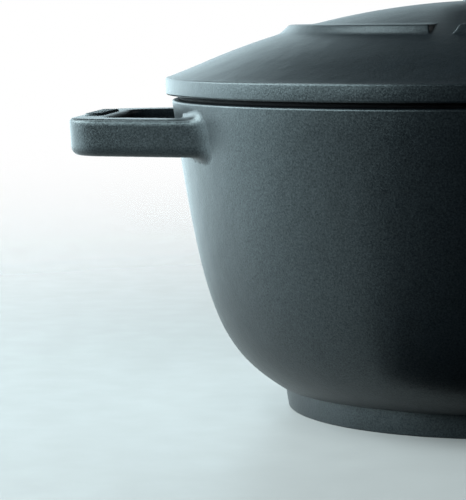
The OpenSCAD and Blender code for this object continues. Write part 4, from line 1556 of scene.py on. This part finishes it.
def soft_light(name, place, target, width, height, power, colour=(1.0, 1.0, 1.0)):
    data = bpy.data.lights.new(name, "AREA")
    data.shape = "RECTANGLE"
    data.size, data.size_y = width, height
    data.energy = power
    data.color = colour
    obj = bpy.data.objects.new(name, data)
    obj.location = place
    aim = Vector(target) - Vector(place)
    obj.rotation_euler = aim.to_track_quat("-Z", "Y").to_euler()
    obj.visible_camera = False
    bpy.context.scene.collection.objects.link(obj)
    return obj


def painted_shade_one_way():
    """Painted shade for the card in front: black from above; clear from below, so that the floor
    under it keeps its light.
    """
    s = Shader("painted_shade_card")
    # Painted shade: a near-black colour that stands in for shade in what the pot reflects.
    s.into(s.mixed(s.noise(40.0), (0.004, 0.004, 0.004), (0.008, 0.008, 0.008)), "Base Color")
    s.set(Roughness=0.9, Specular_IOR_Level=0.0)
    side = s.nodes.new("ShaderNodeNewGeometry")
    split = s.nodes.new("ShaderNodeSeparateXYZ")
    s.links.new(side.outputs["Normal"], split.inputs[0])
    seen_from_above = s.ranged(split.outputs["Z"], 0.0, 1.0, -0.01, 0.01)
    clear = s.nodes.new("ShaderNodeBsdfTransparent")
    mix = s.nodes.new("ShaderNodeMixShader")
    s.links.new(seen_from_above, mix.inputs[0])
    s.links.new(clear.outputs[0], mix.inputs[1])
    s.links.new(s.surface.outputs[0], mix.inputs[2])
    s.links.new(mix.outputs[0], s.nodes["Material Output"].inputs["Surface"])
    return s.material


def painted_shade_flag():
    """Painted shade: a black card just above the floor in front, unseen by the camera and without a
    shadow, which darkens the pot's reflections of the floor there.
    """
    corners = [(-0.045, -0.088), (0.05, -0.088), (0.30, -0.02), (1.6, 0.10), (1.6, -1.7),
               (-1.4, -1.7)]
    low_z, high_z = 1.0 * MM, 1.5 * MM
    count = len(corners)
    points = [(x, y, z) for z in (low_z, high_z) for x, y in corners]
    faces = [tuple(range(count))[::-1], tuple(range(count, 2 * count))]
    faces += [(i, (i + 1) % count, count + (i + 1) % count, count + i) for i in range(count)]
    # The card is painted shade, seen only in what the pot reflects.
    card = new_object("painted_shade_card", (points, faces), painted_shade_one_way())
    card.visible_camera = card.visible_shadow = False


def studio_room(stage):
    """White seen directly; for light, a bright wall behind and a dim room elsewhere."""
    world = bpy.data.worlds.new("studio")
    bpy.context.scene.world = world
    world.use_nodes = True
    nodes, links = world.node_tree.nodes, world.node_tree.links
    nodes.clear()
    place = nodes.new("ShaderNodeTexCoord").outputs["Generated"]
    split = nodes.new("ShaderNodeSeparateXYZ")
    links.new(place, split.inputs[0])

    def ranged(value, a, b, c, d):
        node = nodes.new("ShaderNodeMapRange")
        node.interpolation_type = "SMOOTHSTEP"
        for label, number in zip(("From Min", "From Max", "To Min", "To Max"), (a, b, c, d)):
            node.inputs[label].default_value = number
        links.new(value, node.inputs["Value"])
        return node.outputs[0]

    def maths(kind, a, b):
        node = nodes.new("ShaderNodeMath")
        node.operation = kind
        for socket, value in zip(node.inputs, (a, b)):
            if isinstance(value, float):
                socket.default_value = value
            else:
                links.new(value, socket)
        return node.outputs[0]

    glow_at = math.radians(128)
    toward = maths("ADD", maths("MULTIPLY", split.outputs["X"], -math.sin(glow_at)),
                   maths("MULTIPLY", split.outputs["Y"], -math.cos(glow_at)))
    side = ranged(toward, 0.48, 0.85, 0.0, 1.0)
    above = ranged(split.outputs["Z"], 0.15, 0.6, stage.back_glow, 0.0)
    below = ranged(split.outputs["Z"], -0.08, 0.0, stage.floor_glow, 0.0)
    height = maths("ADD", above, below)
    level = maths("ADD", maths("MULTIPLY", side, height), stage.room_level)
    room = nodes.new("ShaderNodeBackground")
    room.inputs["Color"].default_value = (0.73, 0.93, 1.0, 1.0)
    links.new(level, room.inputs["Strength"])
    white = nodes.new("ShaderNodeBackground")
    white.inputs["Color"].default_value = (1.0, 1.0, 1.0, 1.0)
    seen = nodes.new("ShaderNodeLightPath")
    mix = nodes.new("ShaderNodeMixShader")
    out = nodes.new("ShaderNodeOutputWorld")
    links.new(seen.outputs["Is Camera Ray"], mix.inputs[0])
    links.new(room.outputs[0], mix.inputs[1])
    links.new(white.outputs[0], mix.inputs[2])
    links.new(mix.outputs[0], out.inputs["Surface"])


class COOKER_OT_stage(bpy.types.Operator):
    """Sets the floor, the studio light and the camera"""

    bl_idname = "cooker.stage"
    bl_label = "Stage"

    def execute(self, context):
        stage = context.scene.cooker_stage
        disc = lathe([(0, -1 * MM), (4.0, -1 * MM), (4.0, 0), (0, 0)], 64)
        floor = new_object("floor", disc, fading_floor(stage), merge=1e-6)
        # Painted shade: the black card darkens the pot's reflections of the floor in front and by
        # the foot.
        painted_shade_flag()
        studio_room(stage)
        soft_light("side_light", (-1.44, -0.30, 0.74), (0, 0, 0.10), 2.5, 0.85,
                   stage.side_power, COOL_LIGHT)
        soft_light("top_light", (-0.85, 0.12, 1.20), (0, 0, 0.13), 0.9, 0.6, stage.top_power,
                   COOL_LIGHT)
        soft_light("fill_light", (1.5, 0.9, 0.9), (0, 0, 0.06), 1.0, 1.0, stage.fill_power)
        self.camera(context)
        context.scene.view_settings.view_transform = "Standard"
        return {"FINISHED"}

    def camera(self, context):
        distance, height = 0.844, 0.14465
        lens_ratio = 2281.5 / 500
        pitch, aim_left, roll = 0.10303, 0.11403, -0.01144
        data = bpy.data.cameras.new("camera")
        data.sensor_width = 36.0
        data.lens = 36.0 * lens_ratio
        data.clip_start, data.clip_end = 0.01, 50.0
        camera = bpy.data.objects.new("camera", data)
        turn = (Matrix.Rotation(aim_left, 4, "Z") @ Matrix.Rotation(math.pi / 2 - pitch, 4, "X")
                @ Matrix.Rotation(roll, 4, "Z"))
        camera.matrix_world = Matrix.Translation((0, -distance, height)) @ turn
        context.scene.collection.objects.link(camera)
        context.scene.camera = camera


class COOKER_PT_panel(bpy.types.Panel):
    """Lists the pieces and their main sizes"""

    bl_label = "Pressure cooker"
    bl_idname = "COOKER_PT_panel"
    bl_space_type = "VIEW_3D"
    bl_region_type = "UI"
    bl_category = "Cooker"

    def draw(self, context):
        scene = context.scene
        for settings, names in (
                (scene.cooker_pot, ("rim_radius", "wall", "root_fillet", "mark_count")),
                (scene.cooker_lid, ("dome_rise", "ring_height", "gap_count")),
                (scene.cooker_finish, ("cast_colour", "cast_roughness", "grain_depth")),
                (scene.cooker_stage, ("side_power", "back_glow", "floor_colour"))):
            for name in names:
                self.layout.prop(settings, name)
        for operator in STEPS:
            self.layout.operator(operator.bl_idname)


STEPS = (
    COOKER_OT_pot, COOKER_OT_grip_marks, COOKER_OT_base, COOKER_OT_seal, COOKER_OT_lid,
    COOKER_OT_knob, COOKER_OT_regulator, COOKER_OT_indicator, COOKER_OT_safety_valve,
    COOKER_OT_stage,
)
SETTINGS = {
    "cooker_pot": CookerPotSettings, "cooker_lid": CookerLidSettings,
    "cooker_finish": CookerFinishSettings, "cooker_stage": CookerStageSettings,
}
CLASSES = tuple(SETTINGS.values()) + STEPS + (COOKER_PT_panel,)


def register():
    for cls in CLASSES:
        bpy.utils.register_class(cls)
    for name, cls in SETTINGS.items():
        setattr(bpy.types.Scene, name, PointerProperty(type=cls))


def unregister():
    for name in SETTINGS:
        delattr(bpy.types.Scene, name)
    for cls in reversed(CLASSES):
        bpy.utils.unregister_class(cls)


def main():
    register()
    for step in STEPS:
        group, name = step.bl_idname.split(".")
        result = getattr(getattr(bpy.ops, group), name)()
        if result != {"FINISHED"}:
            raise RuntimeError(step.bl_label + " was not made")


if __name__ == "__main__":
    main()
